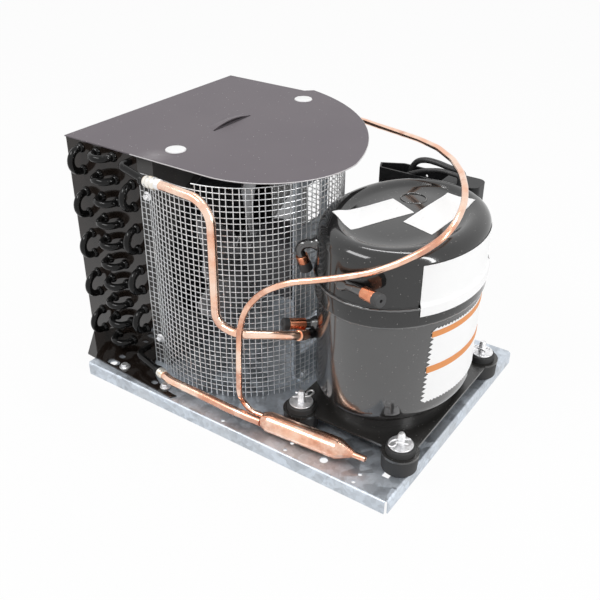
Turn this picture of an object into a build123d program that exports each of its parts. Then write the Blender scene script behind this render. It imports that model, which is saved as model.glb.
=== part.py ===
from build123d import *
import os
from math import atan2, cos, degrees, hypot, pi, radians, sin, sqrt, tan

os.makedirs("parts", exist_ok=True)

# Refrigeration condensing unit, millimetres, +Z up. The origin is the centre of the four base bolts,
# on the top face of the base pan. -X is the coil's end, +X the compressor's, -Y the pipe side.

# Base pan
bolt_span_x = 292.0
bolt_span_y = 274.0
bolt_hole = 8.5
bolt_margin = 27.0
bolt_margin_y = 16.5
base_length = 400.0
base_lip = 15.5
base_sheet = 1.2
base_bend = 2.5
corner_notch = 3.0
small_hole = 4.2
small_hole_step = 40.3
small_hole_pair = 12.3
small_hole_shift = 3.4
square_hole = 7.5
square_hole_inset_x = 19.0
square_hole_inset_y = 33.6

# Condenser coil
coil_rows = 4
coil_tubes_high = 10
row_pitch = 24.0
tube_pitch = 25.4
tube_dia = 7.94
tube_fit = 0.05
tube_bottom = 15.4
first_row_x = -192.0
coil_near = -103.5
coil_length = 283.0
plate_sheet = 1.5
plate_margin_left = 22.0
plate_margin_right = 10.0
plate_height = 252.0
fin_margin = 9.0
fin_edge = 4.0
bend_straight = 2.0
header_reach = 8.5
header_run = 16.0
header_step = 6.0
header_drop = 6.0
outlet_reach = 18.5
outlet_run = 26.0
outlet_step = 9.0
outlet_drop = 0.9

# Coil foot, turned out towards the pipe side
foot_front_left_x = -184.0
foot_front_right_x = -47.0
foot_left_reach = 4.5
foot_right_reach = 12.5
foot_corner = (4.0, 6.0)
foot_bulge = (4.0, 10.0)
foot_slot_length = 9.0
foot_slot_width = 6.0
foot_slot_offset = (66.0, -2.0)
foot_slot_depth = 0.403
foot_screw_offsets = [(18.0, 0.3), (82.0, -1.1)]
foot_screw_hole = 5.2
foot_screw_hex = 4.6
foot_screw_head = 4.0
foot_screw_washer = 6.2
washer_face = 1.0
far_foot_landing = 10.0
plate_flange = 14.0

# Shroud and top plate
shroud_depth = 22.0
shroud_sheet = 1.2
orifice_radius = 95.0
orifice_collar = 8.0
cover_sheet = 1.2
cover_overhang = 1.0
cover_front_end_x = -13.0
cover_nose_x = 85.0
cover_nose_y = 6.5
cover_ear_x = -88.0
cover_ear_y = 191.5
cover_ear_step = 9.0
cover_front_arc = (65.0, -62.5)
cover_back_arc = (25.0, 122.5)
cover_back_overhang = 3.5
plug_places = [(-87.0, -69.0), (-77.0, 151.5)]
slit_setback = 5.0
slit_mid_y = 32.5
slit_length = 66.0
slit_rise = 4.0
slit_end_rise = 0.5
slit_width = 3.0
slit_hood = 12.0
plug_dia = 22.0
plug_height = 1.6
plug_taper = 20.0
plug_lip = 1.5
plug_fit = 0.1

# Fan, its motor and bracket
fan_y = -4.0
fan_z = 127.0
fan_radius = 92.0
fan_x = -43.0
blade_count = 5
blade_sheet = 1.2
blade_overlap = 5.0
blade_trim = 4.0
blade_reach = 40.0
blade_root = (24.0, 36.0, 2.0)
blade_middle = (62.0, 28.0, 6.0)
blade_tip = (80.0, 20.0, 8.0)
spider_radius = 27.0
hub_radius = 11.0
hub_length = 16.0
shaft_dia = 6.35
shaft_nose = 6.0
shaft_back = 8.0
bearing_clearance = 0.05
motor_front_x = -20.0
motor_back_x = 41.0
motor_radius = 42.0
motor_wall = 2.5
motor_round = 6.0
motor_nose = 20.0
motor_boss_radius = 9.0
motor_boss_length = 10.0
stack_length = 24.0
stator_bolt = 1.6
winding_inner = 24.0
winding_outer = 35.0
winding_length = 7.0
rotor_radius = 19.0
rotor_gap = 0.5
bracket_sheet = 2.0
bracket_width = 62.0
bracket_foot = 14.0
bracket_shift = 6.0
bracket_window = 44.0
bracket_rib = 12.0
bracket_window_gap = 80.0
bracket_screw_hex = 4.2
bracket_screw_head = 3.5
bracket_screw_step = 40.0

# Fan guard
guard_radius = 107.0
guard_centre_x = -41.5
guard_centre_y = -12.0
guard_height = 248.0
guard_notch_height = 236.0
guard_notch_length = 64.0
guard_wire = 1.2
guard_upright = 1.08
guard_upright_gap = 0.36
guard_pitch = 12.7
guard_start_x = -108.0
guard_screw_x = -99.5
guard_screw_heights = (213.0, 38.0)
guard_washer_radius = 4.5
guard_screw_gap = 0.48
guard_screw_hex = 3.4
guard_screw_head = 2.5

# Compressor
shell_x = 150.0
shell_y = -4.5
shell_half_x = 78.0
shell_half_y = 100.0
shell_wall = 3.0
shell_bottom = 30.0
shell_round = 18.0
seam_bottom = 150.0
seam_top = 167.0
seam_step = 3.0
dome_half_x = 79.2
dome_half_y = 99.4
dome_top = 222.0
dome_round = 8.0
dome_recess = 3.0
dome_rim = 17.0
dome_sink = 2.0
foot_shift = 3.0
foot_span_x = 117.0
foot_span_y = 194.0
pan_top = 20.5
pan_sheet = 2.5
pan_pad_radius = 19.0
pan_margin_y = 4.0
pan_overhang_right = 12.0
pan_ring = 4.0
grommet_radius = 17.5
grommet_neck = 10.0
grommet_collar = 4.0
grommet_top = 27.0
stud_dia = 8.0
stud_fit = 0.3
stud_top = 40.0
stud_tip = 2.0
stud_tip_taper = 30.0
washer_radius = 12.5
washer_sheet = 1.5
clip_wire = 2.0
clip_drop = 6.0
clip_fit = 0.05
clip_back = 9.0
clip_front = 13.0
clip_gap = 6.4
stub_dia = 9.5
stub_collar = 1.5
stub_inside = 12.0
stub_cut = 20.0
lap_back = 7.0
stub_collar_length = 6.0
stub_bend = 11.0
band_dia = 12.4
process_band = 18.0
process_plug = 5.0
charging_band = 15.0
charging_plug = 6.0
suction_band = 9.0
suction_plug = 9.0
rubber_head = 13.1
rubber_shank = 7.0
rubber_depth = 8.0
rubber_crown = 1.8
rubber_round = 1.2
terminal_x = 158.0
terminal_radius = 16.0
terminal_z = 190.0
terminal_sink = 8.0
terminal_pin = 1.6
terminal_pin_length = 12.0
terminal_pin_circle = 6.0

# Compressor's inner works, with the crank's centre on the shell's
spring_radius = 6.0
spring_wall = 2.0
spring_span = 64.0
works_stator_radius = 60.0
works_stator_bottom = 45.0
works_stator_height = 50.0
works_rotor_radius = 29.6
works_rotor_height = 48.0
works_gap = 0.4
crank_dia = 16.0
crank_bottom = 40.0
crank_clearance = 0.05
block_radius = 55.0
block_bottom = 100.0
block_sheet = 12.0
block_leg_radius = 5.0
block_leg_span = 74.0
block_hub_radius = 14.0
block_hub_drop = 4.0
web_radius = 22.0
web_shift = 4.0
web_bottom = 112.3
web_height = 6.7
throw = 9.0
pin_dia = 12.0
pin_lift = 0.5
pin_top = 150.0
rod_height = 12.0
rod_big_end = 24.0
rod_small_end = 14.0
rod_width = 9.0
rod_length = 45.5
wrist_dia = 8.0
wrist_length = 22.0
piston_dia = 24.0
piston_length = 20.0
piston_clearance = 0.02
slot_clearance = 0.1
cylinder_z = 141.0
cylinder_start = 32.0
cylinder_end = 66.0
cylinder_side = 44.0
valve_plate_sheet = 3.0
head_depth = 12.0
head_round = 5.0
head_edge = 4.0

# Pipes
discharge_dia = 12.7
outlet_dia = 9.5
liquid_dia = 6.35
drier_dia = 22.0
drier_stub = 6.4
drier_port_offset = 4.7
drier_shoulder = 30.0
drier_nose = 8.0
drier_nose_step = 3.0
drier_stub_length = 14.0
drier_bore_depth = 12.0
drier_stub_wall = 1.0
header_bend = 14.0
discharge_bend = 26.0
outlet_bend = 60.0
liquid_bend = 90.0
inlet_run_on = 9.0
outlet_run_on = 14.0
outlet_port_run = 16.0
liquid_port_run = 18.0

# Electrical box: an open box on the left, a rounded cover over the terminal on the right
box_plan = [(62.0, 98.8), (56.0, 112.0), (80.0, 125.0), (138.0, 125.0), (138.0, 98.8)]
box_bottom = 150.0
box_top = 215.0
box_wall = 2.0
box_hole = 3.0
box_hole_z = 195.0
box_hole_step = 8.0
box_hole_count = 6
terminal_cover_right = 178.0
terminal_cover_back = 129.0
terminal_cover_rise = 1.0
terminal_cover_round = 10.0
relay_place = (92.0, 111.8)
relay_size = (24.0, 20.0, 44.0)
relay_corner = 3.0
capacitor_place = (120.0, 111.9)
capacitor_radius = 10.8
capacitor_height = 52.0
thick_wire = 6.5
thin_wire = 5.0
wire_bend = 40.0


# Derived places
base_left = -bolt_span_x / 2 - bolt_margin
base_width = bolt_span_y + 2 * bolt_margin_y
bolt_line = -bolt_span_y / 2
foot_front_right_y = bolt_line - foot_right_reach
base_right = base_left + base_length
base_mid = (base_left + base_right) / 2
coil_far = coil_near + coil_length
far_foot_depth = coil_far - base_width / 2 + far_foot_landing
rows_x = [first_row_x + i * row_pitch for i in range(coil_rows)]
tubes_z = [tube_bottom + i * tube_pitch for i in range(coil_tubes_high)]
top_tube_z = tubes_z[-1]
plate_left = rows_x[0] - plate_margin_left
plate_right = rows_x[-1] + plate_margin_right
plate_mid = (plate_left + plate_right) / 2
fan_panel_x = plate_right + shroud_depth
cover_bottom = plate_height
cover_top = plate_height + cover_sheet
foot_x = shell_x + foot_shift
box_front_y = box_plan[0][1]
box_right = box_plan[-1][0]
box_back_y = box_plan[2][1]
box_hole_mid = (box_plan[2][0] + box_right) / 2
terminal_depth = box_front_y - (shell_y + dome_half_y - terminal_sink)


def unit(a, b):
    """Unit vector from point a to point b."""
    return (Vector(*b) - Vector(*a)).normalized()


def bend_radii(points, largest):
    """One radius for each corner of a pipe: 0.45 of its shorter run, but at most the bender's own."""
    radii = []
    for a, b, c in zip(points, points[1:], points[2:]):
        turn = radians((Vector(*b) - Vector(*a)).get_angle(Vector(*c) - Vector(*b)))
        run = min((Vector(*b) - Vector(*a)).length, (Vector(*c) - Vector(*b)).length)
        radii.append(min(largest, 0.45 * run / tan(turn / 2)))
    return radii


def beyond(points, run):
    """The point that lies a run past the last point, in line with the last run."""
    end = Vector(*points[-1]) + unit(points[-2], points[-1]) * run
    return end.X, end.Y, end.Z


def round_pipe(points, diameter, largest):
    """A bent round bar along the points."""
    with BuildPart() as bar:
        with BuildLine() as route:
            if len(points) == 2:
                Line(*points)
            else:
                FilletPolyline(*points, radius=bend_radii(points, largest))
        with BuildSketch(Plane(origin=route.line @ 0, z_dir=route.line % 0)):
            Circle(diameter / 2)
        sweep(path=route.line)
    return bar


def save(builder, name):
    """Label a finished piece and write it under its own name."""
    builder.part.label = name
    export_step(builder.part, f"parts/{name}.step")


# Base pan: a tray turned upside down, with open corners

lone_hole_x = bolt_span_x / 2 - 3 * small_hole_step
with BuildPart() as base_pan:
    with BuildSketch():
        with Locations((base_mid, 0)):
            Rectangle(base_length, base_width)
    extrude(amount=-base_lip)
    fillet(base_pan.edges().group_by(Axis.Z)[-1], base_bend)
    with BuildSketch(Plane.XY.offset(-base_lip)):
        with Locations((base_mid, 0)):
            Rectangle(base_length - 2 * base_sheet, base_width - 2 * base_sheet)
    extrude(amount=base_lip - base_sheet, mode=Mode.SUBTRACT)
    with BuildSketch():
        with Locations((base_mid, 0)):
            with GridLocations(base_length, base_width, 2, 2):
                Rectangle(2 * corner_notch, 2 * corner_notch)
        with GridLocations(bolt_span_x, bolt_span_y, 2, 2):
            Circle(bolt_hole / 2)
        with Locations((bolt_span_x / 2, bolt_line - small_hole_shift)):
            with GridLocations(2 * small_hole_step, small_hole_pair, 2, 2):
                Circle(small_hole / 2)
        with Locations((lone_hole_x, bolt_line - small_hole_shift - small_hole_pair / 2)):
            Circle(small_hole / 2)
        with Locations((base_right - square_hole_inset_x, -base_width / 2 + square_hole_inset_y)):
            Rectangle(square_hole, square_hole)
    extrude(amount=-base_lip, mode=Mode.SUBTRACT)
save(base_pan, "base_pan")


# Coil: fins on straight tubes between two end plates

def tube_grid():
    """Centres of all tubes in the XZ plane, row by row."""
    return [(x, z) for x in rows_x for z in tubes_z]


def foot_places_at(offsets):
    """Places in the coil's foot, counted from the front left base bolt."""
    return [(-bolt_span_x / 2 + x, bolt_line + y) for x, y in offsets]


foot_slots = foot_places_at([foot_slot_offset])
foot_slots += [(-bolt_span_x / 2, bolt_line + foot_slot_depth * (coil_near - bolt_line))]


near_plane = Plane(origin=(0, coil_near, 0), x_dir=(1, 0, 0), z_dir=(0, -1, 0))
far_plane = Plane(origin=(0, coil_far, 0), x_dir=(1, 0, 0), z_dir=(0, -1, 0))

with BuildPart() as end_plate_near:
    with BuildSketch(near_plane):
        with Locations((plate_mid, plate_height / 2)):
            Rectangle(plate_right - plate_left, plate_height)
        with Locations(*tube_grid()):
            Circle(tube_dia / 2 + tube_fit, mode=Mode.SUBTRACT)
    extrude(amount=-plate_sheet)
    with BuildSketch():
        with BuildLine():
            Polyline(
                (plate_left, coil_near),
                (foot_front_left_x, bolt_line - foot_left_reach),
                (foot_front_right_x, foot_front_right_y),
                (foot_front_right_x + foot_corner[0], foot_front_right_y + foot_corner[1]),
            )
            ThreePointArc(
                (foot_front_right_x + foot_corner[0], foot_front_right_y + foot_corner[1]),
                ((plate_right + foot_front_right_x) / 2 + foot_bulge[0],
                 (coil_near + foot_front_right_y) / 2 - foot_bulge[1]),
                (plate_right, coil_near),
            )
            Line((plate_right, coil_near), (plate_left, coil_near))
        make_face()
        with Locations((-bolt_span_x / 2, bolt_line)):
            SlotOverall(foot_slot_length + bolt_hole, bolt_hole, mode=Mode.SUBTRACT)
        with Locations(*foot_slots):
            SlotOverall(foot_slot_length, foot_slot_width, mode=Mode.SUBTRACT)
        with Locations(*foot_places_at(foot_screw_offsets)):
            Circle(foot_screw_hole / 2, mode=Mode.SUBTRACT)
    extrude(amount=plate_sheet)
    with BuildSketch(Plane.XY.offset(plate_height - plate_sheet)):
        with Locations((plate_mid, coil_near + plate_flange / 2)):
            Rectangle(plate_right - plate_left, plate_flange)
    extrude(amount=plate_sheet)
save(end_plate_near, "end_plate_near")

with BuildPart() as end_plate_far:
    with BuildSketch(far_plane):
        with Locations((plate_mid, plate_height / 2)):
            Rectangle(plate_right - plate_left, plate_height)
        with Locations(*tube_grid()):
            Circle(tube_dia / 2 + tube_fit, mode=Mode.SUBTRACT)
    extrude(amount=plate_sheet)
    with BuildSketch():
        with Locations(((base_left + plate_right) / 2, coil_far - far_foot_depth / 2)):
            Rectangle(plate_right - base_left, far_foot_depth)
    extrude(amount=plate_sheet)
    with BuildSketch(Plane.XY.offset(plate_height - plate_sheet)):
        with Locations((plate_mid, coil_far - plate_flange / 2)):
            Rectangle(plate_right - plate_left, plate_flange)
    extrude(amount=plate_sheet)
save(end_plate_far, "end_plate_far")

fin_bottom = fin_edge
fin_top = plate_height - fin_edge
with BuildPart() as fin_pack:
    with BuildSketch(Plane(origin=(0, coil_near + plate_sheet, 0), x_dir=(1, 0, 0), z_dir=(0, -1, 0))):
        with Locations(((rows_x[0] + rows_x[-1]) / 2, (fin_bottom + fin_top) / 2)):
            Rectangle((coil_rows - 1) * row_pitch + 2 * fin_margin, fin_top - fin_bottom)
        with Locations(*tube_grid()):
            Circle(tube_dia / 2 + tube_fit, mode=Mode.SUBTRACT)
    extrude(amount=-(coil_length - 2 * plate_sheet))
save(fin_pack, "fin_pack")

with BuildPart() as coil_tubes:
    with BuildSketch(near_plane):
        with Locations(*tube_grid()):
            Circle(tube_dia / 2)
    extrude(amount=-coil_length)
save(coil_tubes, "coil_tubes")


def return_bend(x0, z0, x1, z1, y, out):
    """A half-round bend joining two tube ends, standing out of the plane at y towards out (-1 or 1)."""
    reach = y + out * bend_straight
    radius = hypot(x1 - x0, z1 - z0) / 2
    crown = reach + out * radius
    mid_x = (x0 + x1) / 2
    mid_z = (z0 + z1) / 2
    with BuildLine(mode=Mode.PRIVATE) as path:
        Line((x0, y, z0), (x0, reach, z0))
        ThreePointArc((x0, reach, z0), (mid_x, crown, mid_z), (x1, reach, z1))
        Line((x1, reach, z1), (x1, y, z1))
    start = Plane(origin=(x0, y, z0), z_dir=(0, out, 0))
    return sweep(start * Circle(tube_dia / 2, mode=Mode.PRIVATE), path=path.line, mode=Mode.PRIVATE)



def upright_bends(x, first):
    """Return bends of one row that each join a tube with the tube above, from the given tube upwards."""
    levels = range(first, coil_tubes_high - 1, 2)
    return [return_bend(x, tubes_z[i], x, tubes_z[i + 1], coil_near, -1) for i in levels]


near_bends = upright_bends(rows_x[0], 0) + upright_bends(rows_x[-1], 1)
near_bends += [return_bend(rows_x[1], z, rows_x[2], z, coil_near, -1) for z in tubes_z]
with BuildPart() as return_bends_near:
    add(near_bends)
save(return_bends_near, "return_bends_near")

far_bends = [return_bend(rows_x[0], z, rows_x[1], z, coil_far, 1) for z in tubes_z]
far_bends += [return_bend(rows_x[2], z, rows_x[3], z, coil_far, 1) for z in tubes_z]
with BuildPart() as return_bends_far:
    add(far_bends)
save(return_bends_far, "return_bends_far")


# Screws of the coil's foot, with hexagon heads

with BuildPart() as foot_screws:
    with BuildSketch(Plane.XY.offset(plate_sheet)):
        with Locations(*foot_places_at(foot_screw_offsets)):
            RegularPolygon(foot_screw_hex, 6)
    extrude(amount=foot_screw_head)
    with BuildSketch(Plane.XY.offset(plate_sheet)):
        with Locations(*foot_places_at(foot_screw_offsets)):
            Circle(foot_screw_washer)
    extrude(amount=washer_face)
save(foot_screws, "foot_screws")


# Shroud: a shallow box on the coil's fan side, with the fan's orifice

with BuildPart() as fan_shroud:
    with BuildSketch():
        with Locations(((plate_right + fan_panel_x) / 2, (coil_near + coil_far) / 2)):
            Rectangle(shroud_depth, coil_length)
    extrude(amount=plate_height)
    with BuildSketch(Plane.YZ.offset(plate_right)):
        with Locations(((coil_near + coil_far) / 2, plate_height / 2)):
            Rectangle(coil_length - 2 * shroud_sheet, plate_height - 2 * shroud_sheet)
    extrude(amount=shroud_depth - shroud_sheet, mode=Mode.SUBTRACT)
    with BuildSketch(Plane.YZ.offset(fan_panel_x - shroud_sheet)):
        with Locations((fan_y, fan_z)):
            Circle(orifice_radius)
    extrude(amount=orifice_collar, both=True, mode=Mode.SUBTRACT)
    with BuildSketch(Plane.YZ.offset(fan_panel_x - shroud_sheet)):
        with Locations((fan_y, fan_z)):
            Circle(orifice_radius + shroud_sheet)
            Circle(orifice_radius, mode=Mode.SUBTRACT)
    extrude(amount=orifice_collar + shroud_sheet)
save(fan_shroud, "fan_shroud")


# Top plate over the coil and the fan, asymmetric, with a raised slit and two plugs

cover_front_y = coil_near - cover_overhang
cover_back_y = coil_far + cover_back_overhang
slit_x = fan_panel_x - slit_setback

half_slit = slit_length / 2
with BuildPart() as top_plate:
    with BuildSketch(Plane.XY.offset(cover_bottom)):
        with BuildLine():
            Line((plate_left - cover_overhang, cover_front_y), (cover_front_end_x, cover_front_y))
            ThreePointArc((cover_front_end_x, cover_front_y), cover_front_arc, (cover_nose_x, cover_nose_y))
            ThreePointArc((cover_nose_x, cover_nose_y), cover_back_arc, (cover_ear_x, cover_ear_y))
            Polyline(
                (cover_ear_x, cover_ear_y),
                (cover_ear_x - cover_ear_step, cover_back_y),
                (plate_left - cover_overhang, cover_back_y),
                (plate_left - cover_overhang, cover_front_y),
            )
        make_face()
        with Locations(*plug_places):
            Circle(plug_dia / 2 - plug_lip, mode=Mode.SUBTRACT)
        with Locations((slit_x, slit_mid_y)):
            Rectangle(slit_width, slit_length, mode=Mode.SUBTRACT)
    extrude(amount=cover_sheet)
    for back, rise in ((0, slit_rise), (slit_hood, slit_end_rise)):
        hood_origin = (slit_x - slit_width / 2 - back, slit_mid_y, cover_top)
        with BuildSketch(Plane(origin=hood_origin, x_dir=(0, -1, 0), z_dir=(-1, 0, 0))):
            with BuildLine():
                ThreePointArc((-half_slit, -cover_sheet / 2), (0, rise), (half_slit, -cover_sheet / 2))
                ThreePointArc((half_slit, -cover_sheet), (0, rise - cover_sheet), (-half_slit, -cover_sheet))
                Line((half_slit, -cover_sheet / 2), (half_slit, -cover_sheet))
                Line((-half_slit, -cover_sheet / 2), (-half_slit, -cover_sheet))
            make_face()
    loft()
save(top_plate, "top_plate")

with BuildPart() as plate_plugs:
    with BuildSketch(Plane.XY.offset(cover_top)):
        with Locations(*plug_places):
            Circle(plug_dia / 2)
    extrude(amount=plug_height, taper=plug_taper)
    with BuildSketch(Plane.XY.offset(cover_top)):
        with Locations(*plug_places):
            Circle(plug_dia / 2 - plug_lip - plug_fit)
    extrude(amount=-cover_sheet)
save(plate_plugs, "plate_plugs")


# Fan guard: square wire mesh bent round the fan, in two layers of wires

guard_leg_y = coil_near - guard_wire
guard_back_y = guard_centre_y + guard_radius
corner_rise = guard_leg_y - guard_centre_y
corner_run = sqrt(guard_radius**2 - corner_rise**2)
corner_x = guard_centre_x - corner_run
leg_length = corner_x - guard_start_x
arc_start = atan2(corner_rise, -corner_run)
arc_angle = pi / 2 - arc_start
back_length = guard_centre_x - fan_panel_x
guard_length = leg_length + guard_radius * arc_angle + back_length


def guard_point(s, out):
    """The point at length s along the guard's plan line, moved outward by out."""
    if s < leg_length:
        return guard_start_x + s, guard_leg_y - out
    if s < leg_length + guard_radius * arc_angle:
        a = arc_start + (s - leg_length) / guard_radius
        return guard_centre_x + (guard_radius + out) * cos(a), guard_centre_y + (guard_radius + out) * sin(a)
    return guard_centre_x - (s - leg_length - guard_radius * arc_angle), guard_back_y + out


upright_count = int(guard_length / guard_pitch)
upright_lengths = [guard_wire + i * guard_pitch for i in range(upright_count + 1)]
with BuildPart() as guard_uprights:
    for height, lengths in (
        (guard_notch_height, [s for s in upright_lengths if s < guard_notch_length]),
        (guard_height, [s for s in upright_lengths if s >= guard_notch_length]),
    ):
        with BuildSketch():
            with Locations(*[guard_point(s, guard_upright_gap + guard_upright / 2) for s in lengths]):
                Rectangle(guard_upright, guard_upright)
        extrude(amount=height)
save(guard_uprights, "guard_uprights")

hoop_count = int((guard_height - guard_wire) / guard_pitch) + 1
hoop_radius = guard_radius - guard_wire / 2
hoop_back_y = guard_centre_y + hoop_radius
hoop_corner_x = guard_centre_x + hoop_radius * cos(arc_start)
hoop_leg_y = guard_centre_y + hoop_radius * sin(arc_start)
notch_angle = arc_start + (guard_notch_length - leg_length) / guard_radius
with BuildPart() as guard_hoops:
    for i in range(hoop_count):
        hoop_z = guard_wire / 2 + i * guard_pitch
        whole = hoop_z + guard_wire < guard_notch_height
        first_angle = arc_start if whole else notch_angle
        with BuildSketch(Plane.XY.offset(hoop_z)):
            with BuildLine():
                if whole:
                    Line((guard_start_x, hoop_leg_y), (hoop_corner_x, hoop_leg_y))
                CenterArc((guard_centre_x, guard_centre_y), hoop_radius, degrees(first_angle),
                          degrees(pi / 2 - first_angle))
                Line((guard_centre_x, hoop_back_y), (fan_panel_x, hoop_back_y))
            trace(line_width=guard_wire)
        extrude(amount=guard_wire)
save(guard_hoops, "guard_hoops")

guard_face_y = guard_leg_y - guard_upright_gap - guard_upright - guard_screw_gap
with BuildPart() as guard_screws:
    for z in guard_screw_heights:
        head_plane = Plane(origin=(guard_screw_x, guard_face_y, z), x_dir=(1, 0, 0), z_dir=(0, -1, 0))
        with BuildSketch(head_plane):
            Circle(guard_washer_radius)
        extrude(amount=washer_face)
        with BuildSketch(head_plane.offset(washer_face)):
            RegularPolygon(guard_screw_hex, 6)
        extrude(amount=guard_screw_head)
save(guard_screws, "guard_screws")


# Fan: a spider with five twisted blades, on a hub and shaft

def blade_section(radius, shape):
    """Cambered blade section at a radius, from its width, its pitch in degrees and its camber."""
    width, pitch_deg, camber = shape
    flat = Plane(origin=(fan_x, fan_y, fan_z + radius), x_dir=(0, 1, 0), z_dir=(0, 0, 1))
    with BuildSketch(flat.rotated((0, 0, pitch_deg))) as section:
        with BuildLine():
            ThreePointArc((-width / 2, 0), (0, camber), (width / 2, 0))
            Line((width / 2, 0), (width / 2, blade_sheet))
            ThreePointArc((width / 2, blade_sheet), (0, camber + blade_sheet), (-width / 2, blade_sheet))
            Line((-width / 2, blade_sheet), (-width / 2, 0))
        make_face()
    return section.sketch


with BuildPart() as blade:
    add(blade_section(spider_radius - blade_overlap, blade_root))
    add(blade_section((spider_radius + fan_radius) / 2, blade_middle))
    add(blade_section(fan_radius + blade_trim, blade_tip))
    loft(ruled=False)
    with BuildSketch(Plane.YZ.offset(fan_x - blade_reach)):
        with Locations((fan_y, fan_z)):
            Circle(fan_radius)
    extrude(amount=2 * blade_reach, mode=Mode.INTERSECT)

with BuildPart() as fan_blades:
    with BuildSketch(Plane.YZ.offset(fan_x - blade_sheet)):
        with Locations((fan_y, fan_z)):
            Circle(spider_radius)
    extrude(amount=2 * blade_sheet)
    for i in range(blade_count):
        add(blade.part.rotate(Axis((0, fan_y, fan_z), (1, 0, 0)), i * 360 / blade_count))
    with BuildSketch(Plane.YZ.offset(fan_x - blade_reach)):
        with Locations((fan_y, fan_z)):
            Circle(hub_radius)
    extrude(amount=2 * blade_reach, mode=Mode.SUBTRACT)
save(fan_blades, "fan_blades")

with BuildPart() as fan_hub:
    with BuildSketch(Plane.YZ.offset(fan_x - hub_length / 2)):
        with Locations((fan_y, fan_z)):
            Circle(hub_radius)
            Circle(shaft_dia / 2, mode=Mode.SUBTRACT)
    extrude(amount=hub_length)
save(fan_hub, "fan_hub")

shaft_start = fan_x - hub_length / 2 - shaft_nose
shaft_end = motor_back_x - shaft_back
with BuildPart() as fan_shaft:
    with BuildSketch(Plane.YZ.offset(shaft_start)):
        with Locations((fan_y, fan_z)):
            Circle(shaft_dia / 2)
    extrude(amount=shaft_end - shaft_start)
save(fan_shaft, "fan_shaft")

stack_x = motor_front_x + motor_nose
with BuildPart() as fan_rotor:
    with BuildSketch(Plane.YZ.offset(stack_x)):
        with Locations((fan_y, fan_z)):
            Circle(rotor_radius)
            Circle(shaft_dia / 2, mode=Mode.SUBTRACT)
    extrude(amount=stack_length)
save(fan_rotor, "fan_rotor")

with BuildPart() as fan_stator:
    with BuildSketch(Plane.YZ.offset(stack_x)):
        with Locations((fan_y, fan_z)):
            Circle(motor_radius - motor_wall)
            Circle(rotor_radius + rotor_gap, mode=Mode.SUBTRACT)
            with PolarLocations((winding_outer + motor_radius - motor_wall) / 2, 6):
                Circle(stator_bolt, mode=Mode.SUBTRACT)
    extrude(amount=stack_length)
save(fan_stator, "fan_stator")

with BuildPart() as motor_winding:
    for end_x in (stack_x - winding_length, stack_x + stack_length):
        with BuildSketch(Plane.YZ.offset(end_x)):
            with Locations((fan_y, fan_z)):
                Circle(winding_outer)
                Circle(winding_inner, mode=Mode.SUBTRACT)
        extrude(amount=winding_length)
save(motor_winding, "motor_winding")

motor_split_x = stack_x + stack_length / 2


def motor_shell(end_x, open_x):
    """One half of the motor's casing: a cup with a bearing boss in its closed end, which lies at end_x."""
    inward = 1 if open_x > end_x else -1
    end_plane = Plane(origin=(end_x, fan_y, fan_z), x_dir=(0, 1, 0), z_dir=(inward, 0, 0))
    with BuildPart() as cup:
        with BuildSketch(end_plane):
            Circle(motor_radius)
        extrude(amount=abs(open_x - end_x))
        fillet(cup.faces().sort_by(Axis.X)[0 if inward > 0 else -1].edges(), motor_round)
        with BuildSketch(end_plane.offset(motor_wall)):
            Circle(motor_radius - motor_wall)
        extrude(amount=abs(open_x - end_x), mode=Mode.SUBTRACT)
        with BuildSketch(end_plane):
            Circle(motor_boss_radius)
        extrude(amount=motor_boss_length)
        with BuildSketch(end_plane):
            Circle(shaft_dia / 2 + bearing_clearance)
        extrude(amount=motor_boss_length, mode=Mode.SUBTRACT)
    return cup


motor_front = motor_shell(motor_front_x, motor_split_x)
save(motor_front, "motor_front_shell")
motor_back = motor_shell(motor_back_x, motor_split_x)
save(motor_back, "motor_back_shell")

bracket_x = motor_back_x
bracket_y = fan_y - bracket_shift
bracket_mid_z = plate_height / 2
window_width = bracket_width - 2 * bracket_rib
with BuildPart() as motor_bracket:
    with BuildSketch(Plane.YZ.offset(bracket_x)):
        with Locations((bracket_y, bracket_mid_z)):
            Rectangle(bracket_width, plate_height)
        with Locations(*[(bracket_y, bracket_mid_z + side * bracket_window_gap) for side in (-1, 1)]):
            RectangleRounded(window_width, bracket_window, bracket_rib / 2, mode=Mode.SUBTRACT)
    extrude(amount=bracket_sheet)
    with BuildSketch():
        with Locations((bracket_x + bracket_foot / 2, bracket_y)):
            Rectangle(bracket_foot, bracket_width)
    extrude(amount=bracket_sheet)
    with BuildSketch(Plane.XY.offset(plate_height - bracket_sheet)):
        with Locations((bracket_x + bracket_sheet - bracket_foot / 2, bracket_y)):
            Rectangle(bracket_foot, bracket_width)
    extrude(amount=bracket_sheet)
save(motor_bracket, "motor_bracket")

with BuildPart() as bracket_screws:
    with BuildSketch(Plane.XY.offset(bracket_sheet)):
        with Locations((bracket_x + bracket_foot / 2 + 1, bracket_y)):
            with GridLocations(1, bracket_screw_step, 1, 2):
                RegularPolygon(bracket_screw_hex, 6)
    extrude(amount=bracket_screw_head)
save(bracket_screws, "bracket_screws")


# Compressor: a welded oval shell of two halves on a foot pan

def oval(grow_x, grow_y):
    """The shell's oval in plan, with the given half widths."""
    with Locations((shell_x, shell_y)):
        Ellipse(grow_x, grow_y)


def pipe_plane(points, back):
    """Plane across a pipe's first run, set back by the given length behind its first point."""
    direction = unit(points[0], points[1])
    return Plane(origin=Vector(*points[0]) - direction * back, z_dir=direction)


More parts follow.
